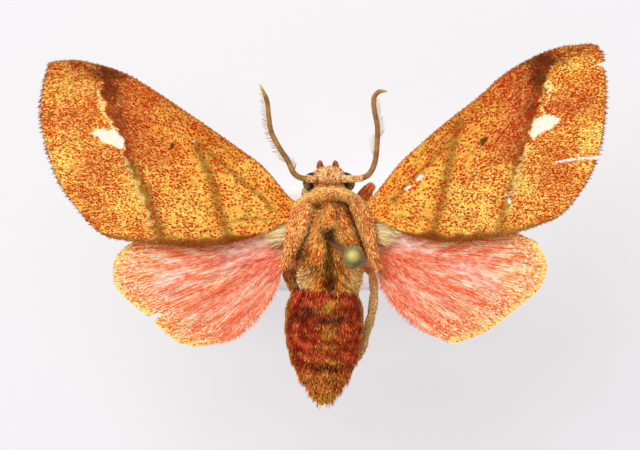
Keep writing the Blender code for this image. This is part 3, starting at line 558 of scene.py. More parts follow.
# %% Tufts
TUFT_STATIONS = np.array([0.0, 0.4, 0.75])
TUFT_TAPER = np.array([0.7, 1.0, 0.62])
TUFT_RIDGE = 0.8
TUFT_FACES = []
for low in (0, 3):
    for a, b in ((0, 2), (2, 1), (1, 0)):
        TUFT_FACES += [(low + a, low + b, low + a + 3), (low + b, low + b + 3, low + a + 3)]
TUFT_FACES += [(6, 8, 9), (8, 7, 9), (7, 6, 9)]


def tufts(name, roots, ups, lies, length, width, rise, places, draw, bend=0.35, sunk=0.1, **marks):
    """One mesh of tufts: three rows of three points, and a tip."""
    count = len(roots)
    lies, side = square_to(ups, lies)
    length = length * draw.uniform(0.8, 1.2, count)
    width = width * draw.uniform(0.75, 1.25, count)
    rise = rise * draw.uniform(0.5, 1.5, count)
    curl = length * draw.normal(0, 0.08, count)
    t = np.append(TUFT_STATIONS, 1.0)
    middle = (roots[:, None] + lies[:, None] * (length[:, None] * t)[..., None]
              + ups[:, None] * (rise[:, None] * (t - bend * t**2) - sunk * (1 - t) ** 2)[..., None]
              + side[:, None] * (curl[:, None] * t**2)[..., None])
    half = (width[:, None] * TUFT_TAPER / 2)[..., None]
    points = np.empty((count, 10, 3))
    points[:, 0:9:3] = middle[:, :3] - side[:, None] * half
    points[:, 1:9:3] = middle[:, :3] + side[:, None] * half
    points[:, 2:9:3] = middle[:, :3] + ups[:, None] * half * TUFT_RIDGE
    points[:, 9] = middle[:, 3]
    tip = np.append(np.repeat(TUFT_STATIONS, 3), 1.0)
    across = np.append(np.tile([0.0, 1.0, 0.5], 3), 0.5)
    obj = small_forms(name, points, TUFT_FACES, places, np.stack([across, tip], axis=1),
                      tone=draw.uniform(0, 1, count), **marks)
    store(obj, tip=np.tile(tip, count))
    return obj


# %% Scales
# Each row of a scale has a share of its length, a share of its width and a share of its rise
SCALE_STATIONS = ((0.0, 0.5, 0.0), (0.55, 1.0, 0.6), (1.0, 0.72, 1.0))
SCALE_FACES = [(0, 1, 3, 2), (2, 3, 5, 4)]
SCALE_PATCH = [(0, 0), (1, 0), (0, 0.5), (1, 0.5), (0, 1), (1, 1)]


def scales(name, roots, ups, lies, length, width, rise, places, draw, roll=0.16, **marks):
    """One mesh of flat plates, each with three rows of two points."""
    count = len(roots)
    lies, side = square_to(ups, lies)
    rolled = roll * draw.normal(size=count)
    length = length * draw.uniform(0.85, 1.15, count)
    width = width * draw.uniform(0.85, 1.15, count)
    rise = rise * draw.uniform(0.5, 1.5, count)
    points = np.empty((count, 6, 3))
    for row, (share, wide, high) in enumerate(SCALE_STATIONS):
        middle = roots + lies * (length * share)[:, None] + ups * (rise * high)[:, None]
        half = (width * wide / 2)[:, None]
        tilt = ups * (half[:, 0] * rolled)[:, None]
        points[:, 2 * row] = middle - side * half - tilt
        points[:, 2 * row + 1] = middle + side * half + tilt
    return small_forms(name, points, SCALE_FACES, places, SCALE_PATCH, **marks)


print("a tuft has", len(TUFT_FACES), "triangles and a scale has", 2 * len(SCALE_FACES))

# %% [markdown]
# ## The wings' shape
#
# A moth's wing is a dry membrane a few hundredths of a millimetre thick, stretched between veins.
# Seen from above, its outline is the thing that a collector knows it by, so the outline leads: four
# edges, drawn as smooth lines through a few points, and a sheet blended between them. The real veins
# fan out in the same way as this sheet's own lines do, so a place on the wing can be named by its
# share along and across. The two sides aren't mirror twins: this moth was pinned a little skew.

# %% Outlines and veins
THORAX_HALF = 3.0
HINDWING_DROP = 1.15
WING_RISE, WING_BOW, WING_SPAN, WING_CURL = 0.045, 0.5, 20.0, 0.0035
FORE_ROOT = (2.7, 1.2)
HIND_ROOT = (0.2, -1.9)
ROOT_DEPTH = 0.75

WING_PLANS = {
    "forewing_left": {
        "leading": [(-3.3, 3.5), (-5.2, 5.75), (-7.1, 7.2), (-10.3, 9.45), (-14.3, 12.15), (-16.7, 13.45),
                    (-19.9, 14.3), (-22.0, 14.2), (-22.35, 14.0)],
        "outer": [(-22.35, 14.0), (-22.85, 12.0), (-23.05, 9.5), (-22.1, 5.85), (-21.05, 3.8), (-19.5, 1.85),
                  (-18.3, 0.65), (-17.3, 0.2)],
        "trailing": [(-17.3, 0.2), (-14.3, -0.22), (-10.1, -0.45), (-7.65, -0.1), (-5.4, 0.55), (-3.6, 1.4)]},
    "forewing_right": {
        "leading": [(3.3, 3.2), (5.65, 6.05), (7.2, 7.5), (9.2, 9.25), (12.0, 11.45), (14.3, 13.45),
                    (17.65, 15.15), (20.3, 15.6), (21.4, 15.5)],
        "outer": [(21.4, 15.5), (21.95, 14.8), (22.0, 13.7), (22.15, 12.3), (22.1, 10.1), (21.55, 6.9),
                  (20.3, 4.25), (18.4, 2.0), (16.2, 1.05)],
        "trailing": [(16.2, 1.05), (13.5, 0.33), (9.95, -0.06), (6.55, 0.4), (4.9, 1.15), (3.9, 1.55)]},
    "hindwing_left": {
        "leading": [(-3.9, 0.35), (-7.4, 0.75), (-11.2, 0.75), (-14.4, 0.3), (-16.1, -0.4)],
        "outer": [(-16.1, -0.4), (-17.05, -1.5), (-17.2, -3.4), (-16.1, -4.75), (-14.3, -6.2), (-12.4, -7.9),
                  (-10.2, -8.45)],
        "trailing": [(-10.2, -8.45), (-7.7, -7.85), (-5.9, -6.3), (-4.7, -4.65), (-4.1, -3.2), (-3.7, -2.2)]},
    "hindwing_right": {
        "leading": [(3.9, 0.35), (7.4, 0.8), (11.2, 1.05), (14.4, 0.75), (16.5, -0.1)],
        "outer": [(16.5, -0.1), (17.4, -1.9), (16.75, -3.9), (14.9, -5.5), (12.3, -7.4), (9.5, -8.1)],
        "trailing": [(9.5, -8.1), (7.6, -7.25), (5.75, -5.75), (4.65, -4.3), (4.05, -2.9), (3.75, -1.9)]},
}
# Each vein is a line of places on its wing, as shares along and across
FORE_VEINS = [
    [(0.03, 0.12), (0.35, 0.07), (0.66, 0.025)],
    [(0.03, 0.32), (0.3, 0.2), (0.56, 0.15), (0.8, 0.06), (0.96, 0.03)],
    [(0.56, 0.15), (0.8, 0.12), (0.99, 0.11)],
    [(0.57, 0.2), (0.8, 0.23), (0.99, 0.25)],
    [(0.56, 0.15), (0.54, 0.3), (0.58, 0.43)],
    [(0.57, 0.38), (0.8, 0.4), (0.99, 0.41)],
    [(0.58, 0.43), (0.8, 0.51), (0.99, 0.54)],
    [(0.03, 0.55), (0.3, 0.45), (0.58, 0.43)],
    [(0.46, 0.43), (0.75, 0.61), (0.99, 0.67)],
    [(0.32, 0.45), (0.66, 0.68), (0.99, 0.81)],
    [(0.03, 0.8), (0.4, 0.84), (0.97, 0.95)],
]
HIND_VEINS = [
    [(0.04, 0.12), (0.4, 0.1), (0.95, 0.04)],
    [(0.04, 0.28), (0.4, 0.22), (0.99, 0.17)],
    [(0.45, 0.24), (0.7, 0.29), (0.99, 0.3)],
    [(0.45, 0.24), (0.42, 0.32), (0.47, 0.42)],
    [(0.04, 0.45), (0.47, 0.42), (0.99, 0.44)],
    [(0.47, 0.42), (0.7, 0.52), (0.99, 0.56)],
    [(0.3, 0.43), (0.65, 0.64), (0.99, 0.7)],
    [(0.04, 0.66), (0.5, 0.78), (0.99, 0.85)],
]


# %% A place on a wing, and its height
def kind_of(name):
    return name.split("_")[0]


def is_fore(name):
    return kind_of(name) == "forewing"


def side_of(name):
    return LEFT if name.endswith("left") else RIGHT


def wing_edges(name):
    """The wing's leading, outer, trailing and root lines. The root lies inside the trunk's hair."""
    plan, side = WING_PLANS[name], side_of(name)
    front, rear = FORE_ROOT if is_fore(name) else HIND_ROOT
    root = [(side * (THORAX_HALF - ROOT_DEPTH), y) for y in np.linspace(front, rear, 4)]
    return {"leading": smooth_line([root[0], *plan["leading"]]), "outer": smooth_line(plan["outer"]),
            "trailing": smooth_line([*plan["trailing"], root[-1]]), "root": np.array(root)}


def place_on_wing(edges, along, across):
    """Places from their shares along and across the wing, blended between its four edges."""
    along, across = np.broadcast_arrays(np.asarray(along, float), np.asarray(across, float))
    lead, trail = at_share(edges["leading"], along), at_share(edges["trailing"], 1 - along)
    root, outer = at_share(edges["root"], across), at_share(edges["outer"], across)
    a, w = along[..., None], across[..., None]
    corners = ((edges["leading"][0] * (1 - w) + edges["trailing"][-1] * w) * (1 - a)
               + (edges["leading"][-1] * (1 - w) + edges["trailing"][0] * w) * a)
    return lead * (1 - w) + trail * w + root * (1 - a) + outer * a - corners


def wing_height(name, places):
    """The spread wing's surface: it rises outwards, bows, and curls down at its edges."""
    out = np.maximum(0, np.abs(places[:, 0]) - THORAX_HALF)
    level = WING_PLANE - (0 if is_fore(name) else HINDWING_DROP)
    return (level + WING_RISE * out + WING_BOW * np.sin(np.pi * np.minimum(1, out / WING_SPAN))
            - WING_CURL * (places[:, 1] - 0.28 * out) ** 2)


def vein_lines(name, edges):
    veins = FORE_VEINS if is_fore(name) else HIND_VEINS
    return [smooth_line(place_on_wing(edges, *np.array(vein).T), 8) for vein in veins]


edges_of = {name: wing_edges(name) for name in WING_PLANS}
veins_of = {name: vein_lines(name, edges_of[name]) for name in WING_PLANS}
print("wings:", {name: len(veins) for name, veins in veins_of.items()})

# %% [markdown]
# ## The wings' markings
#
# The forewings are amber with red flecks. Crossing them are two soft olive bands and one dark band
# that is sharp towards the tip and fades inwards, with a cream patch beside it. Worn places show as
# pale spots. The rear edge is brown, its own colour with painted shade where it curls down. The
# hindwings are salmon, with redder streaks that fan out along the veins and a straw-coloured rim.
#
# These are drawn as a person would paint them: lines, patches and soft clouds on the wing. What is
# kept on each point is a mask, such as "how olive", and the colours come later, in the material. The
# same function paints the membrane, its scales and its fringe, so that they always agree.

# %% Forewing marks
# Each band runs from the leading edge to the rear. Olive lines have a half width and a strength,
# cream patches are outlines, and clouds are x, y, half width, half height, degrees and strength.
FORE_MARKS = {
    "forewing_left": {
        "band": [(-18.1, 14.0), (-17.95, 11.6), (-17.5, 10.0), (-16.9, 8.8), (-16.3, 7.6), (-15.9, 6.0)],
        "olive": [
            ([(-15.9, 6.2), (-15.2, 5.2), (-14.5, 3.8), (-13.9, 2.2), (-13.3, 0.4)], 0.45, 0.85),
            ([(-10.5, 7.6), (-9.9, 6.2), (-9.2, 4.6), (-8.7, 2.6), (-8.0, 0.6), (-7.6, 0.0)], 0.36, 0.75),
            ([(-10.2, 7.5), (-9.0, 6.5), (-7.7, 5.4), (-6.5, 4.4), (-5.3, 3.4), (-4.5, 2.4)], 0.2, 0.65),
            ([(-14.2, 6.0), (-12.0, 6.0)], 0.1, 0.4),
            ([(-8.0, 1.45), (-6.4, 1.75), (-4.7, 1.65)], 0.13, 0.5)],
        "gilt": [
            ([(-18.4, 11.9), (-18.15, 11.0), (-17.7, 9.9), (-17.0, 8.9)], 0.24, 1.0),
            ([(-16.3, 6.9), (-15.75, 5.4), (-15.1, 4.0), (-14.5, 2.4), (-14.0, 0.8)], 0.2, 0.5)],
        "cream": [
            [(-18.9, 8.56), (-18.4, 8.8), (-17.84, 8.86), (-17.12, 8.76), (-16.52, 8.46), (-16.3, 8.0),
             (-16.22, 7.34), (-16.5, 7.2), (-17.1, 7.5), (-18.0, 7.9), (-18.6, 8.26)]],
        "dark": [(-17.6, 13.3, 2.0, 0.9, -8, 0.85), (-17.3, 11.9, 0.9, 1.6, 12, 0.7),
            (-16.5, 9.8, 0.7, 1.4, 15, 0.5), (-19.8, 13.9, 1.5, 0.3, -5, 0.6),
            (-12.45, 7.44, 0.2, 0.17, 0, 1.6)],
        "mauve": [(-20.8, 9.8, 1.9, 0.9, 5, 0.7), (-18.6, 5.8, 1.3, 1.7, -20, 0.65),
            (-15.6, 9.6, 1.5, 2.6, -20, 0.7), (-13.6, 6.9, 1.3, 1.2, 0, 0.55),
            (-16.5, 11.9, 1.2, 1.2, 0, 0.5), (-12.2, 9.2, 1.6, 0.8, 35, 0.3),
            (-18.9, 10.4, 0.7, 1.8, -12, 0.6), (-20.3, 12.9, 1.6, 0.7, 0, 0.35)],
        "bright": [(-20.6, 12.5, 1.5, 1.3, 0, 0.8), (-21.3, 6.4, 1.5, 1.7, -30, 0.9),
            (-15.6, 3.4, 1.0, 2.0, -25, 0.85), (-11.4, 2.6, 1.8, 1.8, 0, 0.8),
            (-6.5, 2.0, 1.6, 1.3, 20, 0.5), (-6.8, 5.6, 1.6, 0.6, 40, 0.45)],
        "bare": [(-10.75, 7.82, 0.11, 0.09, 0, 1.6)],
    },
    "forewing_right": {
        "band": [(17.7, 14.9), (17.3, 13.2), (17.0, 12.0), (16.5, 10.4), (16.1, 9.2), (15.8, 8.0),
                 (15.4, 7.0), (14.9, 6.0)],
        "olive": [
            ([(15.2, 6.8), (14.8, 5.4), (14.3, 3.8), (13.8, 2.2), (13.5, 0.9)], 0.4, 0.65),
            ([(10.3, 9.3), (9.8, 7.6), (9.5, 6.2), (9.2, 4.6), (8.8, 2.8), (8.3, 1.0), (8.2, 0.1)],
             0.38, 0.75),
            ([(9.9, 8.3), (8.4, 6.6), (7.0, 5.2), (5.8, 4.0), (5.0, 3.0)], 0.2, 0.6),
            ([(5.3, 1.85), (8.5, 1.75), (11.4, 1.9)], 0.1, 0.5)],
        "gilt": [
            ([(17.45, 12.6), (17.4, 11.5), (17.1, 10.6), (16.9, 9.9)], 0.16, 1.0),
            ([(15.9, 7.5), (15.3, 6.2), (14.9, 5.2), (14.6, 3.6), (14.2, 2.2)], 0.2, 0.55)],
        "cream": [
            [(16.0, 8.4), (16.1, 9.0), (16.35, 9.5), (17.0, 9.94), (17.8, 10.0), (18.26, 9.7), (18.1, 9.2),
             (17.4, 8.8), (16.6, 8.4), (16.1, 8.0)]],
        "dark": [(17.0, 14.3, 2.1, 0.9, 8, 0.85), (16.6, 12.9, 1.1, 1.6, 5, 0.8),
            (16.1, 10.6, 0.7, 1.3, -12, 0.5), (15.4, 13.0, 1.4, 0.6, 40, 0.45),
            (19.6, 15.2, 1.6, 0.25, 5, 0.6), (12.25, 7.95, 0.27, 0.18, 40, 1.7),
            (5.3, 3.2, 0.5, 0.3, 30, 0.5)],
        "mauve": [(14.8, 11.2, 1.6, 2.4, 15, 0.75), (14.0, 8.2, 1.5, 1.3, 0, 0.55),
            (19.4, 10.9, 2.4, 1.2, 5, 0.75), (17.9, 6.7, 1.0, 0.6, -20, 0.6),
            (17.7, 5.2, 1.6, 0.8, -10, 0.75), (18.6, 3.6, 1.2, 0.8, 30, 0.4),
            (19.6, 12.4, 1.4, 0.7, 0, 0.35)],
        "bright": [(20.7, 8.3, 1.2, 1.6, 0, 1.0), (19.9, 14.1, 1.6, 0.7, 0, 0.6),
            (20.5, 5.9, 0.5, 0.5, 0, 0.9), (15.6, 4.4, 0.9, 2.2, 15, 0.85), (11.3, 3.0, 1.9, 2.0, 0, 0.9),
            (9.6, 9.6, 2.2, 0.5, 42, 0.45), (7.3, 3.2, 1.2, 1.2, 0, 0.7)],
        "bare": [(7.2, 4.95, 0.36, 0.16, 35, 1.7), (6.2, 4.12, 0.3, 0.12, 35, 1.5),
            (14.0, 3.6, 0.14, 0.12, 0, 1.2), (14.25, 3.1, 0.16, 0.3, 0, 1.0)],
    },
}


def wing_fan(places, edges):
    """Coordinates that run round the wing's root and out from it, for marks that are long and thin."""
    spoke = places - edges["root"].mean(0)
    turn = np.arctan2(spoke[:, 1], np.abs(spoke[:, 0]))
    return np.stack([turn * 24, np.linalg.norm(spoke, axis=1) * 0.28], axis=1)


def paint_forewing(name, places, edges):
    """The masks of a forewing's markings at these places."""
    marks, side = FORE_MARKS[name], side_of(name)
    wavy = waver(places, 0.16, 0.9, 3)
    smoother = places + 0.35 * (wavy - places)
    band = np.array(marks["band"])[::-1]
    beyond = side * (wavy[:, 0] - np.interp(wavy[:, 1], band[:, 1], band[:, 0]))
    lasting = soft_step(wavy[:, 1], band[0, 1] - 1.2, band[0, 1] + 1.2)
    inner = np.where(beyond < 0, np.exp(np.minimum(beyond, 0) / 1.3), 0)
    haze = 0.7 * np.exp(-np.abs(beyond) / 2.6) * (beyond < 0) * lasting
    olive = strokes(smoother, marks["olive"], lambda near, half: soft_step(near, half * 1.8, half * 0.2))
    gilt = strokes(wavy, marks["gilt"], lambda near, half: soft_step(near, half * 1.2, half * 0.4))
    cream = np.max([depth_inside(smoother, outline) for outline in marks["cream"]], axis=0)
    front, rear, outside = [line_distance(places, edges[e]) for e in ("leading", "trailing", "outer")]
    out = np.abs(places[:, 0])
    front_edge = soft_step(front, 0.16 + 0.25 * soft_step(out, 9, 14), 0.03)
    depth = (0.8 + 0.16 * ripple(places, 1.6, 11)) * soft_step(out, 5.0, 8.5)
    depth *= 1 - 0.45 * soft_step(out, 12, 17)
    # The brown rear edge: the wing's own colour, with painted shade where the edge curls down
    rear_edge = soft_step(rear, depth * 1.3 + 0.05, depth * 0.15) * (1 - 0.3 * soft_step(out, 11, 15))
    outer_edge = soft_step(outside + 0.05 * ripple(places, 0.5, 20), 0.3, 0.06)
    masks = {"band": inner * lasting, "olive": olive, "gilt": gilt, "bare": clouds(places, marks["bare"]),
             "dark": clouds(wavy, marks["dark"]), "bright": clouds(wavy, marks["bright"]),
             "mauve": clouds(wavy, marks["mauve"]) + haze,
             "rim": np.max([rear_edge, 0.6 * front_edge, 0.75 * outer_edge], axis=0)}
    return {**{mask: np.clip(values, 0, 1) for mask, values in masks.items()},
            "cream": cream,
            "outer": soft_step(outside, 9.0, 5.0),
            "costal": soft_step(front, 2.2, 0.4) * soft_step(out, 5.5, 8.5),
            "streak": ripple(wing_fan(places, edges), 0.8, 9)}


# %% Hindwing marks
# The streaks are redder, and each runs from the root outwards, with a half width and a strength
HIND_MARKS = {
    "hindwing_left": {
        "streaks": [
            ([(-3.9, -0.25), (-7.1, -1.2), (-10.3, -1.8), (-15.9, -2.2)], 0.22, 0.8),
            ([(-3.9, -0.25), (-9.5, -2.2), (-11.9, -3.4), (-14.3, -5.0)], 0.2, 0.9),
            ([(-5.0, -1.0), (-9.9, -3.2), (-12.3, -4.4), (-14.7, -5.6)], 0.16, 0.7),
            ([(-3.9, -0.6), (-7.9, -3.6), (-9.9, -4.8), (-13.1, -7.3)], 0.34, 0.9),
            ([(-4.0, -1.2), (-7.5, -4.0), (-9.5, -5.6), (-11.1, -8.0)], 0.36, 0.9),
            ([(-3.9, -1.7), (-5.6, -4.0), (-7.2, -6.2), (-8.4, -7.9)], 0.5, 0.7)],
        "pale": [(-6.2, -0.9, 2.4, 0.6, 18, 0.9), (-8.0, -1.75, 0.5, 0.35, 20, 1.2),
            (-12.4, -2.9, 1.3, 0.5, 25, 0.55), (-5.0, 0.3, 1.6, 0.4, 0, 0.8),
            (-13.6, -4.3, 1.6, 0.8, 30, 0.3)],
        "straw": [(-16.8, -2.8, 0.7, 2.2, 0, 1.0), (-15.2, -5.4, 2.0, 0.5, 38, 0.9),
            (-12.8, -7.0, 1.4, 0.5, 35, 0.6), (-16.2, -0.9, 0.9, 0.4, -40, 0.7),
            (-14.4, -2.4, 1.2, 1.2, 0, 0.35), (-9.6, -8.2, 1.6, 0.4, 0, 0.4)],
    },
    "hindwing_right": {
        "streaks": [
            ([(3.9, -0.15), (6.6, -1.0), (9.4, -1.6), (12.6, -1.6), (15.4, -1.5)], 0.24, 0.85),
            ([(3.9, -0.3), (8.4, -1.8), (11.2, -2.6), (14.6, -4.2)], 0.2, 0.8),
            ([(3.9, -0.6), (7.6, -2.6), (10.2, -3.9), (13.6, -5.6)], 0.32, 0.95),
            ([(4.0, -1.0), (7.4, -3.6), (9.6, -5.2), (11.8, -7.2)], 0.4, 0.9),
            ([(3.9, -1.5), (5.9, -4.0), (7.6, -6.0), (9.4, -7.8)], 0.5, 0.8)],
        "pale": [(5.8, -0.4, 2.2, 0.5, -16, 0.8), (10.2, -2.2, 1.6, 0.35, -25, 0.8),
            (12.6, -3.2, 1.6, 0.5, -25, 0.55), (5.2, 0.45, 1.6, 0.35, 0, 0.9)],
        "straw": [(16.9, -1.9, 1.0, 2.4, 8, 1.0), (15.3, -4.6, 2.0, 0.7, -45, 0.95),
            (14.4, -2.6, 1.6, 1.2, 0, 0.5), (15.0, 0.1, 1.8, 0.5, -20, 0.8),
            (12.2, -6.6, 1.6, 0.5, -40, 0.6)],
    },
}


def paint_hindwing(name, places, edges):
    """The masks of a hindwing's markings at these places."""
    marks = HIND_MARKS[name]
    spokes = wing_fan(places, edges)
    wavy = waver(places, 0.1, 1.1, 5)
    streak = strokes(wavy, marks["streaks"], lambda near, half: np.exp(-(near / half / 1.1) ** 2))
    for vein in veins_of[name]:
        streak = np.maximum(streak, 0.7 * bell(line_distance(wavy, vein), 0, 0.1))
    outside = line_distance(places, edges["outer"])
    straw_edge = soft_step(outside + 0.1 * ripple(places, 0.5, 21), 0.7, 0.25)
    return {
        "streak": np.clip(streak, 0, 1),
        "pale": np.clip(clouds(wavy, marks["pale"]), 0, 1),
        "straw": np.clip(0.45 * clouds(wavy, marks["straw"]) + straw_edge, 0, 1),
        "inner": soft_step(line_distance(places, edges["trailing"]), 2.4, 0.2),
        "outer": soft_step(outside, 3.4, 1.0),
        "silk": 0.45 * ripple(spokes * (1, 0.3), 1.0, 7) + 1.1 * ripple(spokes * (1, 0.25), 0.28, 8),
    }


def paint_wing(name, places):
    painter = paint_forewing if is_fore(name) else paint_hindwing
    return painter(name, places, edges_of[name])


print("markings:", list(paint_wing("forewing_left", np.zeros((1, 2)))))


# %% [markdown]
# ## Wing materials
#
# Wing scales are dry and matt, so the roughness is high and hardly varies. The colour is a stack of
# layers over an amber ground, each laid on by one of the stored masks. Noise breaks the edges of the
# sharp marks, because a real mark ends scale by scale. The fine grain gives the bump, and the fleck
# group colours the membrane, where no separate scales lie, such as the underside.

# %% Forewing material
def make_forewing_material():
    made, tree, shader = new_material("forewing_scales", 0.78)
    place = object_place(tree)
    ragged = calc("MULTIPLY", calc("SUBTRACT", noise(place, 0.16), 0.5), 0.5)
    chance, mauve, outer = [stored(tree, mask) for mask in ("tone", "mauve", "outer")]

    def frayed(mask, share=1.0):
        return calc("MULTIPLY_ADD", ragged, share, stored(tree, mask))

    drift = calc("MULTIPLY_ADD", stored(tree, "streak"), 0.13, noise(place, 2.2))
    under = place_group(tree, flecks, Place=place, Spacing=0.3, Radius=0.32, Amount=0.75)["Mask"]
    under = calc("MULTIPLY", under, stored(tree, "membrane"))
    red = calc("MAXIMUM", stored(tree, "red"), under)
    dark = frayed("dark")
    base = lay(
        mix(remap(drift, 0.35, 0.65), "#F89A2A", "#FFC44C"),
        # Brighter zones, and single scales that are paler or ruddier than their neighbours
        ("bright", "#FFDA60", 0.9),
        (remap(outer, 0, 1, 0.5, 0.85), "#FFE888", remap(chance, 0.62, 0.92)),
        (remap(outer, 0, 1, 0.32, 0.9), "#DC5C0E", remap(chance, 0.46, 0.14)),
        ("costal", "#B8701E", 0.45),
        # The soft marks
        (mauve, "#D06628", 0.75),
        (mauve, "#FAA868", remap(chance, 0.6, 0.9, 0.0, 0.8)),
        (mauve, "#9C3C14", remap(chance, 0.36, 0.12, 0.0, 0.85)),
        ("olive", "#94601A", 0.96),
        (remap(frayed("band", 0.6), 0.05, 1.1, 0.0, 0.88), "#8A480F"),
        # The sharp marks
        (remap(dark, 0.1, 0.9, 0.0, 0.92), "#5A2806"),
        ("gilt", "#FFE08C"),
        # The brown rim of the edges, with painted shade along the rear edge where it curls down
        (remap(frayed("rim"), 0.1, 1.0, 0.0, 0.92), "#7E3208"),
        (remap(frayed("cream", 0.25), -0.07, 0.07), "#FFF8E2"),
        # The flecks, which are darker where the wing is dark, and bare places over all
        (red, mix(remap(chance, 0.5, 0.95), "#CC1404", "#A01404")),
        (red, "#4E1804", remap(dark, 0.2, 0.8, 0.0, 0.8)),
        (remap(frayed("bare"), 0.45, 0.65), "#F2EEE6"))
    grained = place_group(tree, grain, Place=place, Size=0.09)
    tone = calc("MULTIPLY_ADD", grained["Tone"], 0.35, chance)
    hue = brighten(base, remap(tone, 0.0, 1.35, 0.82, 1.26))
    finish_grained(shader, hue, grained, 0.3, 0.7, 0.88)
    return made


# %% Hindwing material
def make_hindwing_material():
    made, tree, shader = new_material("hindwing_scales", 0.75)
    place = object_place(tree)
    silk, outer, tone = [stored(tree, mask) for mask in ("silk", "outer", "tone")]
    drift = remap(noise(place, 1.6), 0.35, 0.65)
    base = lay(
        mix(drift, "#FF9E68", "#FFBA80"),
        ("inner", "#FF8C60", 0.6),
        (remap(silk, 0.0, 0.7, 0.0, 0.92), "#FFE6CC"),
        (remap(silk, -0.05, -0.7, 0.0, 0.92), "#F46028"),
        ("pale", "#FFF6F0", 0.9),
        ("streak", "#F05420", 0.85),
        ("straw", "#FFEC74", 0.95),
        # Single scales: orange and gold ones near the rim, rosy ones further in, pale ones all over
        (outer, "#EE6622", remap(tone, 0.52, 0.2, 0.0, 0.9)),
        (outer, "#FFE8A0", remap(tone, 0.6, 0.85, 0.0, 0.7)),
        (calc("SUBTRACT", 1.0, outer), "#F0582C", remap(tone, 0.3, 0.08, 0.0, 0.5)),
        (remap(tone, 0.7, 0.95, 0.0, 0.4), "#FFF0DC"))
    grained = place_group(tree, grain, Place=place, Size=0.08)
    bright = calc("MULTIPLY_ADD", grained["Tone"], 0.35, tone)
    hue = brighten(base, remap(bright, 0.0, 1.35, 0.93, 1.14))
    finish_grained(shader, hue, grained, 0.25, 0.66, 0.84)
    return made


wing_coats = {"forewing": make_forewing_material(), "hindwing": make_hindwing_material()}
print("materials:", [coat.name for coat in wing_coats.values()])

# %% [markdown]
# ## Membranes
#
# Each membrane starts as a flat grid, whose two directions become the shares along and across the
# wing. Small folds run between the veins, as on every dried wing, and the veins stand up as ridges.
# The tears are real cuts: faces inside a tear are taken out, and points beside it are drawn to its
# edge, so that the cut is clean. Solidify then gives the sheet its thickness.

# %% Membrane helper
MEMBRANE = 0.1
VEIN_RIDGE, VEIN_HALF = 0.05, 0.13
FOLD, FOLD_PITCH = 0.035, {"forewing": 34, "hindwing": 46}
SAG, SAG_SIZE = 0.05, 5.0
FRINGE_DEPTH = {"forewing": 0.008, "hindwing": 0.014}
GRID_CELLS = {"forewing": (170, 112), "hindwing": (130, 96)}
TEARS = {
    "forewing_right": [
        [(16.98, 6.02), (17.8, 6.26), (18.6, 6.4), (19.8, 6.68), (20.8, 6.74), (22.4, 6.78),
         (22.4, 6.32), (20.8, 6.42), (19.8, 6.38), (18.6, 6.2), (17.8, 6.1)],
        [(21.15, 14.02), (21.6, 14.2), (22.4, 14.35), (22.4, 13.6), (21.7, 13.85)]],
    "hindwing_left": [[(-13.25, -5.72), (-14.2, -6.0), (-15.2, -6.7), (-14.0, -7.2), (-13.72, -6.5)]],
}


def cut_tears(name, places):
    """Draws the points of a grid that fall inside a tear to its edge, and says which they were."""
    torn = np.zeros(len(places), bool)
    for outline in TEARS.get(name, ()):
        depth = depth_inside(places, outline)
        inside = depth > 0
        closed = np.vstack([outline, outline[:1]])
        best = np.full(len(places), 1e9)
        nearest = places.copy()
        for a, b in zip(closed, closed[1:]):
            share = np.clip((places - a) @ (b - a) / ((b - a) @ (b - a)), 0, 1)
            spot = a + share[:, None] * (b - a)
            away = np.linalg.norm(spot - places, axis=1)
            closer = away < best
            best = np.where(closer, away, best)
            nearest[closer] = spot[closer]
        places = np.where(inside[:, None], nearest, places)
        torn |= inside
    return places, torn


def relief(name, places, shares):
    """Height of the veins' ridges and the folds between them."""
    near = np.min([line_distance(places, vein) for vein in veins_of[name]], axis=0)
    ridge = VEIN_RIDGE * bell(near, 0, VEIN_HALF)
    folds = FOLD * np.sin(shares[:, 1] * FOLD_PITCH[kind_of(name)]) * soft_step(shares[:, 0], 0.05, 0.4)
    return ridge + folds + SAG * ripple(places, SAG_SIZE, 8)


def wing_surface(name, shares):
    """Places and heights on the top of a wing from shares along and across."""
    places = place_on_wing(edges_of[name], shares[:, 0], shares[:, 1])
    return places, wing_height(name, places) + relief(name, places, shares)


# %% Membranes
def delete_faces(obj, lost):
    """Deletes the faces that are marked, in edit mode."""
    bpy.ops.object.mode_set(mode="EDIT")
    bpy.ops.mesh.select_all(action="DESELECT")
    bpy.ops.object.mode_set(mode="OBJECT")
    obj.data.polygons.foreach_set("select", lost)
    bpy.ops.object.mode_set(mode="EDIT")
    bpy.ops.mesh.select_mode(type="FACE")
    bpy.ops.mesh.delete(type="FACE")
    bpy.ops.object.mode_set(mode="OBJECT")


def membrane(name):
    kind = kind_of(name)
    cells = GRID_CELLS[kind]
    select_only()
    bpy.ops.mesh.primitive_grid_add(x_subdivisions=cells[0], y_subdivisions=cells[1], size=1.0)
    obj = bpy.context.object
    obj.name = obj.data.name = name + "_membrane"
    flat = points_of(obj)
    shares = np.stack([(flat[:, 0] + 0.5) * (1 - FRINGE_DEPTH[kind]), 0.5 - flat[:, 1]], axis=1)
    places, heights = wing_surface(name, shares)
    places, torn = cut_tears(name, places)
    move_points(obj, np.column_stack([places, heights]))
    delete_faces(obj, torn[corners_of(obj).reshape(-1, 4)].all(axis=1))
    face_up(obj)
    store(obj, **paint_wing(name, points_of(obj)[:, :2] / MM), red=0, membrane=1, tone=0.5)
    apply_modifier(obj, "SOLIDIFY", thickness=MEMBRANE * MM, offset=-1.0)
    shade_smooth(obj)
    finish_piece(obj, wing_coats[kind], [name])


for name in WING_PLANS:
    membrane(name)

# %% [markdown]
# ## Scales on the wings
#
# Under a lens a moth's wing is a roof of tiny scales in rows, each fixed by its root and pointing to
# the outer edge. On the forewing, single red scales among the yellow ones make its speckled look, so
# here they are scales too, not painted dots. They keep apart from one another, and lie closer near
# the tip. The hindwing's scales are long and hair-like, which makes its silky streaks.

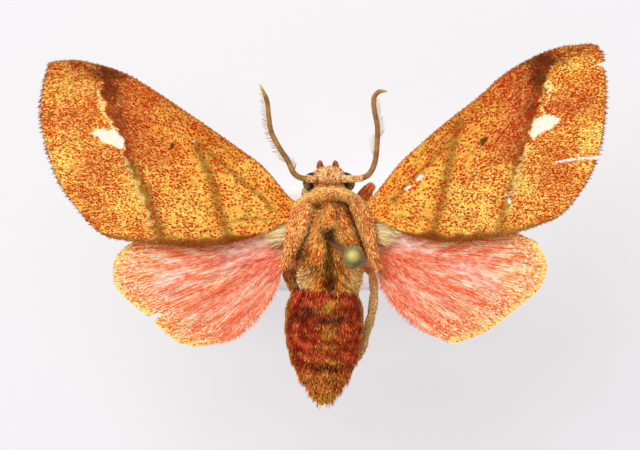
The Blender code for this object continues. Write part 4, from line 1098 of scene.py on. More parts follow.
# %% Rows of scales
def scale_rows(name, row_gap, column_gap, draw):
    """Shares along and across for rows of roots that cover a wing evenly, but for its tears."""
    edges = edges_of[name]
    middle = place_on_wing(edges, np.linspace(0, 1, 60), np.full(60, 0.5))
    rows = int(steps_of(middle).sum() / row_gap)
    found = []
    for row in range(rows):
        along = (row + 0.5) / rows
        line = place_on_wing(edges, np.full(40, along), np.linspace(0, 1, 40))
        count = max(3, int(steps_of(line).sum() / column_gap))
        across = (np.arange(count) + 0.25 + 0.5 * (row % 2) + draw.uniform(-0.3, 0.3, count)) / count
        jitter = along + draw.uniform(-0.35, 0.35, count) / rows
        found.append(np.stack([np.clip(jitter, 0.01, 0.985), np.clip(across, 0.004, 0.996)], axis=1))
    shares = np.vstack(found)
    return shares[untorn(name, shares)]


def untorn(name, shares):
    """Which of these shares don't fall in a tear."""
    return ~cut_tears(name, place_on_wing(edges_of[name], *shares.T))[1]


def lie_on_wing(name, shares, ahead=0.004):
    """Roots on the wing's top, the way up, and the way out along the wing, at these shares."""
    roots, further, beside = [np.column_stack(wing_surface(name, shares + step))
                              for step in ([0, 0], [ahead, 0], [0, ahead])]
    out = further - roots
    ups = unit(np.cross(out, beside - roots))
    ups *= np.where(ups[:, 2:] < 0, -1, 1)
    return roots, ups, unit(out)


def keep_apart(places, gaps, draw):
    """Picks places in random order, each only if none picked lies nearer than its own gap."""
    tree = kdtree.KDTree(len(places))
    for i, place in enumerate(places):
        tree.insert((*place, 0), i)
    tree.balance()
    picked = np.zeros(len(places), bool)
    barred = np.zeros(len(places), bool)
    for i in draw.permutation(len(places)):
        if barred[i]:
            continue
        picked[i] = True
        for _, j, _ in tree.find_range((*places[i], 0), gaps[i]):
            barred[j] = True
    return picked


# %% Forewing scales
WING_SEEDS = {"forewing_left": 21, "forewing_right": 22, "hindwing_left": 23, "hindwing_right": 24}
FORE_ROWS = (0.094, 0.074)
SCALE_LENGTH, SCALE_WIDTH, SCALE_RISE = 0.16, 0.092, 0.026
# A fleck's length and width near the body and near the tip, and how it stands out from the scales
FLECK_LENGTHS, FLECK_WIDTHS = (0.2, 0.17), (0.15, 0.1)
FLECK_GAP, FLECK_LIFT, FLECK_RISE = 0.195, 0.04, 1.3
SCALE_LIFT = 0.012


def crowd_of_flecks(roots, masks, outer):
    """How much denser or sparser than usual the flecks are."""
    crowd = 0.55 * ripple(roots[:, :2], 1.8, 10) + 0.35 * ripple(roots[:, :2], 0.6, 18)
    crowd += 0.3 * (masks["costal"] + masks["streak"]) - (0.35 + 0.5 * outer) * masks["bright"]
    crowd -= 0.8 * masks["gilt"] + 0.6 * masks["rim"] + 0.9 * masks["olive"] + 0.7 * masks["dark"]
    return crowd


def forewing_scales(name):
    draw = default_rng(WING_SEEDS[name])
    shares = scale_rows(name, *FORE_ROWS, draw)
    roots, ups, lies = lie_on_wing(name, shares)
    masks, count = paint_wing(name, roots[:, :2]), len(roots)
    outer = soft_step(shares[:, 0], 0.5, 0.72)
    gaps = (FLECK_GAP - 0.065 * outer - 0.02 * masks["costal"]) * draw.uniform(0.75, 1.3, count)
    red = keep_apart(roots[:, :2], gaps, draw)
    likely = 0.76 + 0.4 * crowd_of_flecks(roots, masks, outer)
    red &= some(draw, count, likely * (1 - 0.6 * outer * masks["bright"]))
    red &= (masks["cream"] < -0.05) & (masks["bare"] < 0.4) & (masks["dark"] < 0.97) & (masks["rim"] < 0.5)
    lies = lies + (0.16 + 0.2 * red * outer)[:, None] * draw.normal(size=lies.shape)
    size = draw.uniform(0.75, 1.2, count)
    length = np.where(red, size * np.interp(outer, (0, 1), FLECK_LENGTHS), SCALE_LENGTH)
    width = np.where(red, size * np.interp(outer, (0, 1), FLECK_WIDTHS), SCALE_WIDTH)
    rise = SCALE_RISE * np.where(red, FLECK_RISE, 1.0)
    lifted = roots + ups * (SCALE_LIFT + FLECK_LIFT * red)[:, None]
    masks.update(red=red * draw.uniform(0.75, 1, count), membrane=0, tone=draw.uniform(0, 1, count))
    made = scales(name + "_scales", lifted, ups, lies, length, width, rise, shares, draw, **masks)
    finish_piece(made, wing_coats["forewing"])


for name in ("forewing_left", "forewing_right"):
    forewing_scales(name)


# %% Hindwing scales
HIND_ROWS = (0.14, 0.052)
SILK_LENGTH, SILK_WIDTH, SILK_RISE = 0.56, 0.05, 0.018


def hindwing_scales(name):
    draw = default_rng(WING_SEEDS[name])
    shares = scale_rows(name, *HIND_ROWS, draw)
    roots, ups, lies = lie_on_wing(name, shares)
    masks = paint_wing(name, roots[:, :2])
    length = SILK_LENGTH + 0.3 * masks["inner"] - 0.28 * masks["outer"]
    width = SILK_WIDTH + 0.03 * masks["outer"]
    lies += 0.03 * draw.normal(size=lies.shape)
    masks["tone"] = draw.uniform(0, 1, len(length))
    lifted = roots + ups * SCALE_LIFT
    made = scales(name + "_scales", lifted, ups, lies, length, width, SILK_RISE, shares, draw,
                  roll=0.06, **masks)
    finish_piece(made, wing_coats["hindwing"])


for name in ("hindwing_left", "hindwing_right"):
    hindwing_scales(name)

# %% [markdown]
# ## Fringes
#
# Round each wing stands a fringe of longer scales, tooth-like on the forewing, softer on the
# hindwing, and hairy along the hindwing's inner edge. Each fringe is a row of tufts whose roots sit
# on the membrane's edge and whose lie points out over it.

# %% Fringe helper
TOOTH, TOOTH_DEPTH = 0.42, 0.25
# For each kind of wing and each edge: spacing, length, width, rise, layers and the gap between layers
FRINGES = {
    "forewing": {"outer": (0.055, 0.36, 0.06, 0.03, 3, 0.006), "trailing": (0.06, 0.22, 0.06, 0.02, 2, 0.01),
                 "leading": (0.06, 0.2, 0.05, 0.02, 2, 0.006)},
    "hindwing": {"outer": (0.045, 0.3, 0.045, 0.03, 4, 0.008),
                 "trailing": (0.032, 0.48, 0.034, 0.05, 7, 0.022)},
}


def fringe_shares(kind, edge, at, inset):
    """Shares along and across the wing, from shares along an edge and depths in from it."""
    spots = {"outer": (1 - FRINGE_DEPTH[kind] - inset, at), "trailing": (1 - at, 1 - inset),
             "leading": (at, inset)}
    return np.clip(np.stack(spots[edge], axis=1), 0.002, 0.998)


def turn_out(name, edge, shares, roots, lies):
    """Turns the lies of a front or rear edge to point out over it."""
    inwards = -0.05 if edge == "trailing" else 0.05
    inner = np.column_stack([shares[:, 0], shares[:, 1] + inwards])
    away = roots[:, :2] - place_on_wing(edges_of[name], *inner.T)
    return 0.9 * lies + 0.8 * np.column_stack([unit(away), np.zeros(len(away))])


def fringe(name, edge, spacing, length, width, rise, layers, step, seed):
    """Tufts along one edge of a wing, in layers that start further and further in."""
    draw, kind = default_rng(seed), kind_of(name)
    count = int(steps_of(edges_of[name][edge]).sum() / spacing)
    at = ((np.arange(count) + draw.uniform(-0.4, 0.4, (layers, count))) / count).ravel()
    inset = (np.arange(layers)[:, None] * step + draw.uniform(0, step, (layers, count))).ravel()
    shares = fringe_shares(kind, edge, at, inset)
    whole = untorn(name, shares)
    shares, at = shares[whole], at[whole]
    roots, ups, lies = lie_on_wing(name, shares)
    if edge != "outer":
        lies = turn_out(name, edge, shares, roots, lies)
    masks = paint_wing(name, roots[:, :2])
    if edge == "outer" and is_fore(name):
        masks["rim"] = draw.uniform(0.45, 1.0, len(roots))
    masks["red"] = some(draw, len(roots), 0.12) * 0.7 * (edge != "trailing")
    masks["membrane"] = 0
    teeth = 1 + TOOTH_DEPTH * np.sin(2 * math.pi * at * count * spacing / TOOTH)
    if kind == "hindwing":
        corner = at if edge == "outer" else 1 - at
        teeth *= 1 - 0.55 * soft_step(corner, 0.6, 0.95)
    lies = lies + 0.12 * draw.normal(size=lies.shape)
    made = tufts(f"{name}_{edge}_fringe", roots, ups, lies, length * teeth, width, rise, shares, draw,
                 sunk=0.03, **masks)
    finish_piece(made, wing_coats[kind])


# %% Fringes
FRINGE_SEED = 31
for name in WING_PLANS:
    for number, (edge, sizes) in enumerate(FRINGES[kind_of(name)].items()):
        fringe(name, edge, *sizes, FRINGE_SEED + number)

# %% [markdown]
# ## The body's skin
#
# Under its hair a moth's body is one closed shell: head, neck, trunk and abdomen. Each part starts as
# a sphere or a turned tube, a little smaller than the CAD's, so that the coat has room. A voxel
# remesh then melts them into one skin without a seam, and smoothing rounds the joins.

# %% Body shapes
TRUNK_CENTRE = np.array([0.1, -0.2, WING_PLANE - 0.5])
TRUNK_AXES = np.array([3.0, 5.6, 2.8])
HEAD_CENTRE = np.array([0.0, 4.75, WING_PLANE - 0.3])
HEAD_AXES = np.array([1.6, 1.35, 1.45])
ABDOMEN_X, ABDOMEN_Z = -0.38, WING_PLANE - 0.9
ABDOMEN_FLATTEN, ABDOMEN_DROOP = 0.84, 0.06
# Each row: how far back, and half of the width there
ABDOMEN_PROFILE = np.array([
    (-4.3, 2.72), (-4.9, 3.0), (-5.6, 3.08), (-6.9, 3.12), (-8.1, 2.98), (-8.8, 2.82), (-9.5, 2.62),
    (-10.1, 2.32), (-10.8, 1.9), (-11.4, 1.54), (-12.0, 1.14), (-12.6, 0.68), (-13.05, 0.3)])
WAIST = ABDOMEN_PROFILE[0, 0]
SEGMENT_LENGTH, SEGMENT_STEP = 1.35, 0.09
SKIN_DEPTH, HEAD_DEPTH, TAIL_DEPTH = 0.38, 0.3, 0.16


def segment_share(y):
    """How far back a place lies in its segment of the abdomen, from 0 to 1."""
    return (WAIST - y) / SEGMENT_LENGTH % 1.0


def abdomen_radius(y):
    """Half of the abdomen's width, with a soft step at each segment's rear edge."""
    plain = np.interp(-y, -ABDOMEN_PROFILE[:, 0], ABDOMEN_PROFILE[:, 1])
    return plain + SEGMENT_STEP * (segment_share(y) - 0.5)


def abdomen_place(y, turn, out=0.0):
    """Points on the abdomen by place along the body and turn from the top."""
    radius = abdomen_radius(y) + out
    height = ABDOMEN_Z + ABDOMEN_DROOP * (y - WAIST) + ABDOMEN_FLATTEN * radius * np.cos(turn)
    return np.stack([ABDOMEN_X + radius * np.sin(turn), y + 0 * turn, height], axis=-1)


def abdomen_up(y, turn):
    return unit(np.stack([np.sin(turn), 0 * y, np.cos(turn) / ABDOMEN_FLATTEN], axis=1))


def oval_place(centre, axes, y, turn):
    """Points on an ellipsoid by place along the body and turn from the top."""
    shrink = np.sqrt(np.maximum(0, 1 - ((y - centre[1]) / axes[1]) ** 2))
    return np.stack([centre[0] + axes[0] * shrink * np.sin(turn), y + 0 * turn,
                     centre[2] + axes[2] * shrink * np.cos(turn)], axis=-1)


def oval_radius(centre, axes, y):
    return axes[0] * math.sqrt(max(0.02, 1 - ((y - centre[1]) / axes[1]) ** 2))


def oval_up(centre, axes, places):
    return unit((places - centre) / axes**2)


def turned_form(rows, sides, place):
    """A closed tube through rings of points."""
    turn = np.linspace(0, 2 * math.pi, sides, endpoint=False)
    rings = np.vstack([place(y, turn) for y in rows])
    around = np.arange(sides)
    after = (around + 1) % sides
    faces = [np.stack([around + k * sides, after + k * sides, after + (k + 1) * sides,
                       around + (k + 1) * sides], axis=1) for k in range(len(rows) - 1)]
    for ring, centre in ((0, len(rings)), (len(rows) - 1, len(rings) + 1)):
        middle = np.full(sides, centre)
        faces.append(np.stack([around + ring * sides, after + ring * sides, middle, middle], axis=1))
    return np.vstack([rings, rings[:sides].mean(0), rings[-sides:].mean(0)]), np.vstack(faces)


print("abdomen is", round(float(abdomen_radius(np.array(-6.8))) * 2, 2), "mm wide")


# %% One skin
NECK_CENTRE, NECK_AXES = (0.05, 3.9, WING_PLANE - 0.6), (1.5, 1.4, 1.5)
TAIL_ROWS = np.linspace(-3.2, -12.8, 70)
VOXEL = 0.12
SMOOTHING_ROUNDS = 4


def oval(name, centre, axes):
    select_only()
    bpy.ops.mesh.primitive_uv_sphere_add(segments=48, ring_count=32, radius=1.0)
    obj = bpy.context.object
    obj.name = name
    obj.data.transform(Matrix.Translation(Vector(centre) * MM) @ Matrix.Diagonal((*(Vector(axes) * MM), 1)))
    return obj


def body_skin():
    skin = oval("body_skin", TRUNK_CENTRE, TRUNK_AXES - SKIN_DEPTH)
    neck = oval("neck", NECK_CENTRE, NECK_AXES)
    skull = oval("skull", HEAD_CENTRE, HEAD_AXES - HEAD_DEPTH)
    points, faces = turned_form(TAIL_ROWS, 48, lambda y, turn: abdomen_place(np.array(y), turn, -TAIL_DEPTH))
    select_only(skin, neck, skull, new_piece("tail", points, faces))
    bpy.ops.object.join()
    skin.data.validate()
    apply_modifier(skin, "REMESH", mode="VOXEL", voxel_size=VOXEL * MM)
    apply_modifier(skin, "SMOOTH", iterations=SMOOTHING_ROUNDS)
    shade_smooth(skin)
    return skin


skin = body_skin()
print("skin faces:", len(skin.data.polygons))


# %% [markdown]
# ## The body's markings
#
# The trunk is golden orange with red tufts, and cream where the hair spreads over the waist. It has
# dark brown along the middle of its rear half, and painted shade in the grooves beside the shoulder
# flaps, along its middle and under the collar's rear edge. The abdomen is brick red with straw-coloured
# tufts down its sides and dark marks along its middle, with painted shade where each segment tucks
# under the one before. As on the wings, one function gives the masks for the skin and for its coat.

# %% Body marks
# Grooves are lines of painted shade, with a half width and a strength. The others are clouds, as on
# the wings. The trunk's dark clouds are partly its own dark brown and partly painted shade under the
# collar's rear edge and beside the grooves.
TRUNK_GROOVE_SHADE = [
    ([(-1.3, 2.7), (-1.5, 1.6), (-1.85, 0.4), (-2.3, -0.8), (-2.7, -1.8)], 0.24, 1.0),
    ([(0.7, 3.3), (1.3, 2.95), (1.7, 2.2), (2.0, 1.4), (2.25, 0.6), (2.6, -0.4), (3.0, -1.4)], 0.28, 1.2),
    ([(0.1, 0.9), (0.0, -0.6), (0.1, -2.0), (0.15, -4.2)], 0.3, 1.1),
    ([(0.5, 3.0), (0.5, 2.2), (0.9, 0.9)], 0.16, 0.6)]
TRUNK_DARK_AND_SHADE = [
    (-0.8, 2.8, 0.26, 0.26, 0, 1.3), (0.05, -2.7, 0.5, 1.4, 0, 1.2), (-0.05, 0.4, 0.5, 0.6, 20, 1.4),
    (-2.1, -0.9, 0.45, 1.0, 12, 1.1), (1.2, -0.6, 0.9, 0.7, 0, 0.5), (0.8, 2.9, 0.5, 0.3, 0, 0.6),
    (-1.0, -2.2, 0.5, 0.9, 10, 0.5), (0.9, -1.8, 0.7, 0.7, 0, 0.5)]
TRUNK_PALE = [
    (-2.3, -3.1, 0.7, 0.8, 0, 0.9), (2.0, -3.0, 0.8, 0.8, 0, 0.9), (-1.5, -4.0, 1.0, 0.4, 0, 0.5),
    (-0.6, 1.6, 0.4, 0.9, 0, 0.35), (-1.3, 0.2, 0.4, 0.9, 10, 0.4), (0.9, 0.6, 0.4, 0.8, 0, 0.3)]
ABDOMEN_DARK = [
    (0.1, -6.25, 1.3, 0.36, 0, 1.6), (-0.25, -7.9, 0.6, 0.2, 8, 0.5), (-0.4, -10.05, 0.9, 0.24, 0, 1.3),
    (-1.9, -5.8, 1.5, 0.9, 20, 0.9), (1.3, -5.2, 1.0, 0.4, 0, 0.5), (1.5, -7.9, 0.4, 0.35, 0, 0.7),
    (-2.6, -9.0, 0.5, 0.4, 0, 0.5), (-2.0, -7.4, 0.4, 0.5, 0, 0.45), (0.9, -5.2, 0.9, 0.3, 15, 0.4),
    (-0.4, -12.6, 0.4, 0.3, 0, 0.4)]
ABDOMEN_STRAW = [
    (-0.2, -5.2, 0.9, 0.4, 15, 0.85), (0.3, -6.0, 0.9, 0.2, 25, 0.7), (0.0, -7.2, 0.6, 0.55, 0, 0.8),
    (-0.1, -8.4, 0.7, 0.4, 0, 0.45), (-0.1, -9.4, 1.1, 0.22, 0, 0.85), (-0.3, -10.5, 0.6, 0.28, 0, 0.8),
    (-1.9, -10.8, 0.5, 0.5, 0, 0.6), (0.9, -11.4, 0.6, 0.5, 0, 0.6), (-0.3, -11.9, 1.2, 0.4, 0, 0.5)]
ABDOMEN_ROSY = [
    (1.4, -6.6, 0.7, 1.0, 0, 0.8), (-1.4, -8.6, 0.9, 0.6, 20, 0.6), (0.9, -8.9, 0.8, 0.4, 0, 0.5),
    (2.2, -8.6, 0.4, 0.8, 10, 0.6), (-2.6, -7.2, 0.4, 0.8, 0, 0.6), (-1.3, -4.6, 0.7, 0.4, 0, 0.4)]


def paint_trunk(points, draw):
    """Masks for the trunk, collar, shoulder flaps and head."""
    count = len(points)
    top = soft_step(points[:, 2], WING_PLANE - 1.5, WING_PLANE + 0.5)
    wavy = waver(points, 0.12, 0.8, 12)
    # Painted shade in the grooves and under the collar, and the trunk's own dark brown, on its top only
    groove_shade = strokes(wavy, TRUNK_GROOVE_SHADE, lambda near, half: bell(near, 0, half), per_span=5)
    dark = np.maximum(clouds(wavy, TRUNK_DARK_AND_SHADE), groove_shade) * top
    rear = soft_step(points[:, 1], -0.6, -2.4)
    fleck = some(draw, count, 0.32 + 0.16 * ripple(points, 1.3, 16)) * draw.uniform(0.6, 1.0, count)
    shade = np.clip(dark + 0.6 * some(draw, count, 0.03 + 0.16 * rear), 0, 1) * draw.uniform(0.75, 1.0, count)
    pale = clouds(wavy, TRUNK_PALE) + 0.9 * some(draw, count, 0.4 - 0.18 * rear)
    return {"fleck": fleck, "shade": shade, "pale": np.clip(pale, 0, 1) * draw.uniform(0.5, 1.0, count)}


def paint_abdomen(points, draw):
    """Masks for the abdomen."""
    count = len(points)
    top = soft_step(points[:, 2], ABDOMEN_Z - 0.5, ABDOMEN_Z + 1.2)
    wavy = waver(points, 0.12, 0.8, 14)
    segment = segment_share(points[:, 1])
    edge = soft_step(np.abs(points[:, 0] - ABDOMEN_X) / abdomen_radius(points[:, 1]), 0.88, 0.99)
    end = soft_step(points[:, 1], -11.3, -12.6)
    edge = np.maximum(edge * (0.75 + 0.25 * ripple(points, 0.8, 19)), 0.8 * end)
    straw = np.maximum(0.75 * clouds(wavy, ABDOMEN_STRAW) * top, 0.95 * edge)
    lower = soft_step(points[:, 1], -9.4, -10.8)
    straw = np.maximum(straw, 0.7 * some(draw, count, 0.02 + 0.03 * segment + 0.4 * lower))
    rosy = 0.2 + 0.8 * clouds(wavy, ABDOMEN_ROSY) * top + 0.5 * ripple(points, 0.8, 17) + 0.3 * lower
    rosy = rosy + 0.24 * draw.normal(size=count)
    # Painted shade at the front of each segment, where it tucks under the rear edge of the one before
    dark = clouds(wavy, ABDOMEN_DARK) * top + 0.25 * (segment < 0.14)
    shade = np.clip(dark + 0.6 * some(draw, count, 0.16 - 0.1 * lower), 0, 1) * draw.uniform(0.6, 1.0, count)
    return {"fleck": np.clip(rosy, 0, 1), "shade": shade,
            "pale": np.clip(straw * some(draw, count, 0.8), 0, 1)}


# %% Coat materials
def make_coat_material(name, *colours, root=0.5, tail=None):
    """The finish of hair: ground, fleck, shade and pale colours, painted shade at the roots, and a soft, dry
    gloss.
    """
    made, tree, shader = new_material(name, 0.7)

    def hair(codes):
        ground, fleck, shade, pale = codes
        return place_group(tree, hair_colour, Ground=ground, Fleck=fleck, Shade=shade, Pale=pale,
                           Root=root)["Colour"]

    hue = hair(colours)
    if tail:
        hue = mix(stored(tree, "tail"), hue, hair(tail))
    grained = place_group(tree, grain, Place=object_place(tree), Size=0.06)
    hue = brighten(hue, remap(grained["Tone"], 0, 1, 0.88, 1.12))
    finish_grained(shader, hue, grained, 0.25, 0.6, 0.8)
    return made


# A coat's root is how bright its hair stays at the root: below 1 is painted shade there
TRUNK_COLOURS = ("#FFA830", "#DE340E", "#381402", "#FFDC88")
ABDOMEN_COLOURS = ("#942002", "#E85E34", "#341202", "#F0BC44")
trunk_coat = make_coat_material("trunk_coat", *TRUNK_COLOURS, root=1.0)
strap_coat = make_coat_material("strap_coat", "#FFAE48", "#BE1C0A", "#6A2A0C", "#FFE894", root=0.92)
abdomen_coat = make_coat_material("abdomen_coat", *ABDOMEN_COLOURS, root=0.6)
head_coat = make_coat_material("head_coat", "#FFC678", "#E0301A", "#9A5420", "#FFF4BC", root=0.92)
leg_coat = make_coat_material("leg_coat", "#E8BC78", "#C0904C", "#6A461E", "#F8E2B0", root=0.85)
thigh_coat = make_coat_material("thigh_coat", "#CC8C42", "#9A4818", "#5A2C0C", "#ECC470", root=0.7)
knee_coat = make_coat_material("knee_coat", "#E4824A", "#B83A1A", "#6A2C10", "#FFD080", root=0.9)
root_coat = make_coat_material("root_coat", "#F4DC96", "#E88A50", "#B08A48", "#FFF6D4", root=0.8)

print("coats:", [m.name for m in bpy.data.materials if m.name.endswith("_coat")])

# %% The skin's marks
# The skin carries the same markings as the coat over it
skin_draw = default_rng(40)
skin_points = points_of(skin) / MM
behind = soft_step(skin_points[:, 1], WAIST + 0.2, WAIST - 0.2)
on_head = soft_step(skin_points[:, 1], 4.0, 4.4)
trunk_marks, tail_marks = paint_trunk(skin_points, skin_draw), paint_abdomen(skin_points, skin_draw)
skin_marks = {mark: trunk_marks[mark] + (tail_marks[mark] - trunk_marks[mark]) * behind
              for mark in trunk_marks}
skin_marks["pale"] = np.maximum(skin_marks["pale"], 0.8 * on_head)
skin_marks["shade"] = skin_marks["shade"] * (1 - on_head)
# The skin shows only in gaps between tufts, so its tone and tip make it a little darker: painted shade
store(skin, **skin_marks, tail=behind, tone=0.4, tip=0.4)
skin_coat = make_coat_material("skin_coat", *TRUNK_COLOURS, tail=ABDOMEN_COLOURS)
finish_piece(skin, skin_coat, ["thorax", "head", "abdomen"])

# %% [markdown]
# ## The coat
#
# Roots are spread in rows over each part, by place along the body and turn round it. The same two
# numbers say where a root lies on the map. Each region has its own lie: on the trunk the hair runs to
# the rear and parts along the middle, on the head it stands forward, on the abdomen it lies flat.

# %% Roots round the body
def rows_round(front, rear, gap, radius, draw):
    """Places along the body and turns from the top, evenly spread over a part of this radius."""
    ys, turns = [], []
    for y in np.arange(front, rear, -gap):
        count = max(4, int(2 * math.pi * max(0.15, float(radius(y))) / gap))
        ys.append(y + draw.uniform(-0.45, 0.45, count) * gap)
        turns.append((np.arange(count) + draw.uniform(0.1, 0.9, count)) / count * (2 * math.pi) - math.pi)
    return np.concatenate(ys), np.concatenate(turns)


def unwrap(turn, down):
    """Places on the map, from turns round the body and shares down it."""
    return np.stack([turn / (2 * math.pi) + 0.5, down], axis=1)


def bolder(marks, width, rise):
    """Widths and rises with the coloured flecks broader and higher than the hair round them."""
    strong = marks["fleck"] > 0.3
    return width * (1 + 0.5 * strong), rise * (1 + 0.4 * strong)


# %% Trunk hair
def trunk_hair():
    draw = default_rng(41)
    inner = TRUNK_AXES - SKIN_DEPTH + 0.04
    y, turn = rows_round(3.7, -4.8, 0.118, lambda y: oval_radius(TRUNK_CENTRE, inner, y), draw)
    roots = oval_place(TRUNK_CENTRE, inner, y, turn)
    ups = oval_up(TRUNK_CENTRE, inner, roots)
    side = roots[:, 0] - TRUNK_CENTRE[0]
    rear = soft_step(y, 0.5, -3.5)
    flare = soft_step(y, -1.6, -2.9) * soft_step(np.abs(side), 0.9, 1.8)
    outward = 0.1 * side + (0.3 * rear + np.where(side < 0, 1.5, 1.0) * flare) * np.tanh(side * 1.6)
    lies = np.stack([outward, -np.ones(len(y)), -0.1 * rear], axis=1)
    lies += (0.2 + 0.25 * rear)[:, None] * draw.normal(size=(len(y), 3))
    top = soft_step(np.cos(turn), 0.1, 0.8)
    length = 0.25 + 0.33 * rear + 0.08 * ripple(roots, 1.6, 42) + 0.42 * flare
    length *= draw.uniform(0.7, 1.3, len(y))
    marks = paint_trunk(roots, draw)
    marks["pale"] = np.maximum(marks["pale"], flare * some(draw, len(y), 0.85))
    width, rise = bolder(marks, 0.078, 0.16 + 0.1 * top + 0.12 * rear)
    made = tufts("trunk_hair", roots, ups, lies, length, width, rise, unwrap(turn, (4 - y) / 9), draw,
                 bend=0.4, **marks)
    finish_piece(made, trunk_coat)


trunk_hair()


# %% Abdomen down and scales
def abdomen_down(draw):
    y, turn = rows_round(-3.9, -12.9, 0.14, lambda y: abdomen_radius(np.array(y)) - TAIL_DEPTH, draw)
    roots = abdomen_place(y, turn, -TAIL_DEPTH + 0.03)
    lies = abdomen_place(y - 0.4, turn, -TAIL_DEPTH) - roots
    beside = soft_step(y, -9.6, -10.8) * soft_step(np.abs(np.sin(turn)), 0.6, 0.9)
    lies = unit(lies) + (0.16 + 0.2 * beside)[:, None] * draw.normal(size=lies.shape)
    lies[:, 0] += 0.45 * beside * np.sin(turn)
    length = 0.44 + 0.1 * segment_share(y) + 0.3 * beside
    length += 0.1 * soft_step(y, -11.0, -12.6) + 0.2 * soft_step(y, -5.6, -4.4)
    length += 0.12 * ripple(roots, 0.7, 47) * (np.cos(turn) < 0.5)
    made = tufts("abdomen_down", roots, abdomen_up(y, turn), lies, length, 0.11, 0.22,
                 unwrap(turn, (-y - 3.5) / 10), draw, bend=0.4, **paint_abdomen(roots, draw))
    finish_piece(made, abdomen_coat)


def abdomen_scales(draw):
    y, turn = rows_round(-4.6, -12.9, 0.115, lambda y: abdomen_radius(np.array(y)) + 0.05, draw)
    roots = abdomen_place(y, turn, -0.02)
    lies = abdomen_place(y - 0.4, turn, -0.02) - roots + 0.12 * draw.normal(size=roots.shape)
    marks = {**paint_abdomen(roots, draw), "tip": 0.7, "tone": draw.uniform(0, 1, len(y))}
    made = scales("abdomen_scales", roots, abdomen_up(y, turn), lies, 0.36, 0.075, 0.08,
                  unwrap(turn, (-y - 3.5) / 10), draw, **marks)
    finish_piece(made, abdomen_coat)


abdomen_draw = default_rng(43)
abdomen_down(abdomen_draw)
abdomen_scales(abdomen_draw)


# %% Head hair
def head_hair():
    draw = default_rng(44)
    inner = HEAD_AXES - 0.26
    y, turn = rows_round(HEAD_CENTRE[1] + inner[1] * 0.98, 3.9, 0.085,
                         lambda y: oval_radius(HEAD_CENTRE, inner, y), draw)
    clear = np.abs(oval_place(HEAD_CENTRE, inner, y, turn)[:, 0]) < 1.12
    y, turn = y[clear], turn[clear]
    roots = oval_place(HEAD_CENTRE, inner, y, turn)
    ups = oval_up(HEAD_CENTRE, inner, roots)
    front = soft_step(y, 4.2, 5.2)
    lies = np.stack([0.8 * roots[:, 0], 0.7 - 0.3 * front, 0.4 + 0 * y], axis=1)
    lies += 0.3 * draw.normal(size=lies.shape)
    marks = paint_trunk(roots, draw)
    marks["shade"] = 0.7 * bell(y, 4.35, 0.2) * (np.cos(turn) > 0) * draw.uniform(0.4, 1, len(y))
    marks["pale"] = 0.6 * front * some(draw, len(y), 0.6)
    marks["fleck"] = some(draw, len(y), 0.3) * (1 - marks["pale"])
    width, rise = bolder(marks, 0.085, 0.14)
    made = tufts("head_hair", roots, ups, lies, 0.2, width, rise, unwrap(turn, (6.5 - y) / 4), draw,
                 bend=0.3, **marks)
    finish_piece(made, head_coat)


head_hair()

# %% [markdown]
# ## Collar and shoulder flaps
#
# Behind the head a moth wears a collar of hair, and over each wing root a flap, the tegula, like a
# shoulder strap with a long silky fringe. Each is a strap that lies over the trunk along a middle
# line, with a rounded back, and hair rooted all over it.

# %% Strap helper
WING_TOP = 0.44
STRAP_THICKNESS = 0.25


def strap_floor(x, y):
    """The lower limit of the straps: over the back, the head and the wings."""
    inside = 1 - ((x - TRUNK_CENTRE[0]) / TRUNK_AXES[0]) ** 2 - (
        (np.minimum(y, 2.95) - TRUNK_CENTRE[1]) / TRUNK_AXES[1]) ** 2
    back = TRUNK_CENTRE[2] + TRUNK_AXES[2] * np.sqrt(np.maximum(0, inside))
    over = 1 - ((x - HEAD_CENTRE[0]) / HEAD_AXES[0]) ** 2 - ((y - HEAD_CENTRE[1]) / HEAD_AXES[1]) ** 2
    head = np.where(np.abs(x) < 1.05, HEAD_CENTRE[2] + HEAD_AXES[2] * np.sqrt(np.maximum(0, over)), 0)
    places = np.stack([x, y], axis=-1).reshape(-1, 2)
    wing = wing_height("forewing_left", places).reshape(np.shape(x)) + WING_TOP
    return np.maximum(np.maximum(back, head), wing)


def strap_surface(line, halves, share, across, height):
    """Points on a strap's rounded back: share along its line, and across from -1 to 1."""
    middle = at_share(line, share)
    ahead = unit(at_share(line, np.minimum(1, share + 0.02)) - at_share(line, np.maximum(0, share - 0.02)))
    over = np.stack([ahead[:, 1], -ahead[:, 0]], axis=1)
    front, middle_half, rear = halves
    half = (front * (1 - share) * (1 - 2 * share) + 4 * middle_half * share * (1 - share)
            + rear * share * (2 * share - 1))
    flat = middle + over * (half * across)[:, None]
    z = strap_floor(flat[:, 0], flat[:, 1]) + height * (1 - across**2) - 0.35 * np.abs(across) ** 3
    ups = unit(np.column_stack([over * (0.9 * across)[:, None], np.ones(len(share))]))
    return np.column_stack([flat, z]), ups


def strap(name, line, halves, height):
    """The strap's own body, under its hair."""
    select_only()
    bpy.ops.mesh.primitive_grid_add(x_subdivisions=40, y_subdivisions=12, size=2.0)
    obj = bpy.context.object
    obj.name = obj.data.name = name + "_lobe"
    flat = points_of(obj)
    place, _ = strap_surface(line, halves, (flat[:, 0] + 1) / 2, flat[:, 1], height)
    move_points(obj, place)
    # The lobe's tone and tip make it a little darker than its hair: painted shade in the gaps between tufts
    store(obj, **paint_trunk(place, default_rng(51)), tone=0.4, tip=0.25)
    face_up(obj)
    apply_modifier(obj, "SOLIDIFY", thickness=STRAP_THICKNESS * MM, offset=-1.0)
    finish_piece(obj, strap_coat, [name])


def strap_roots(line, halves, height, count, draw):
    """Random roots all over a strap: shares along and across, roots, ways up and places on the map."""
    share, across = draw.uniform(0, 1, count), draw.uniform(-1, 1, count)
    roots, ups = strap_surface(line, halves, share, across, height)
    return share, across, roots, ups, np.stack([share, (across + 1) / 2], axis=1)


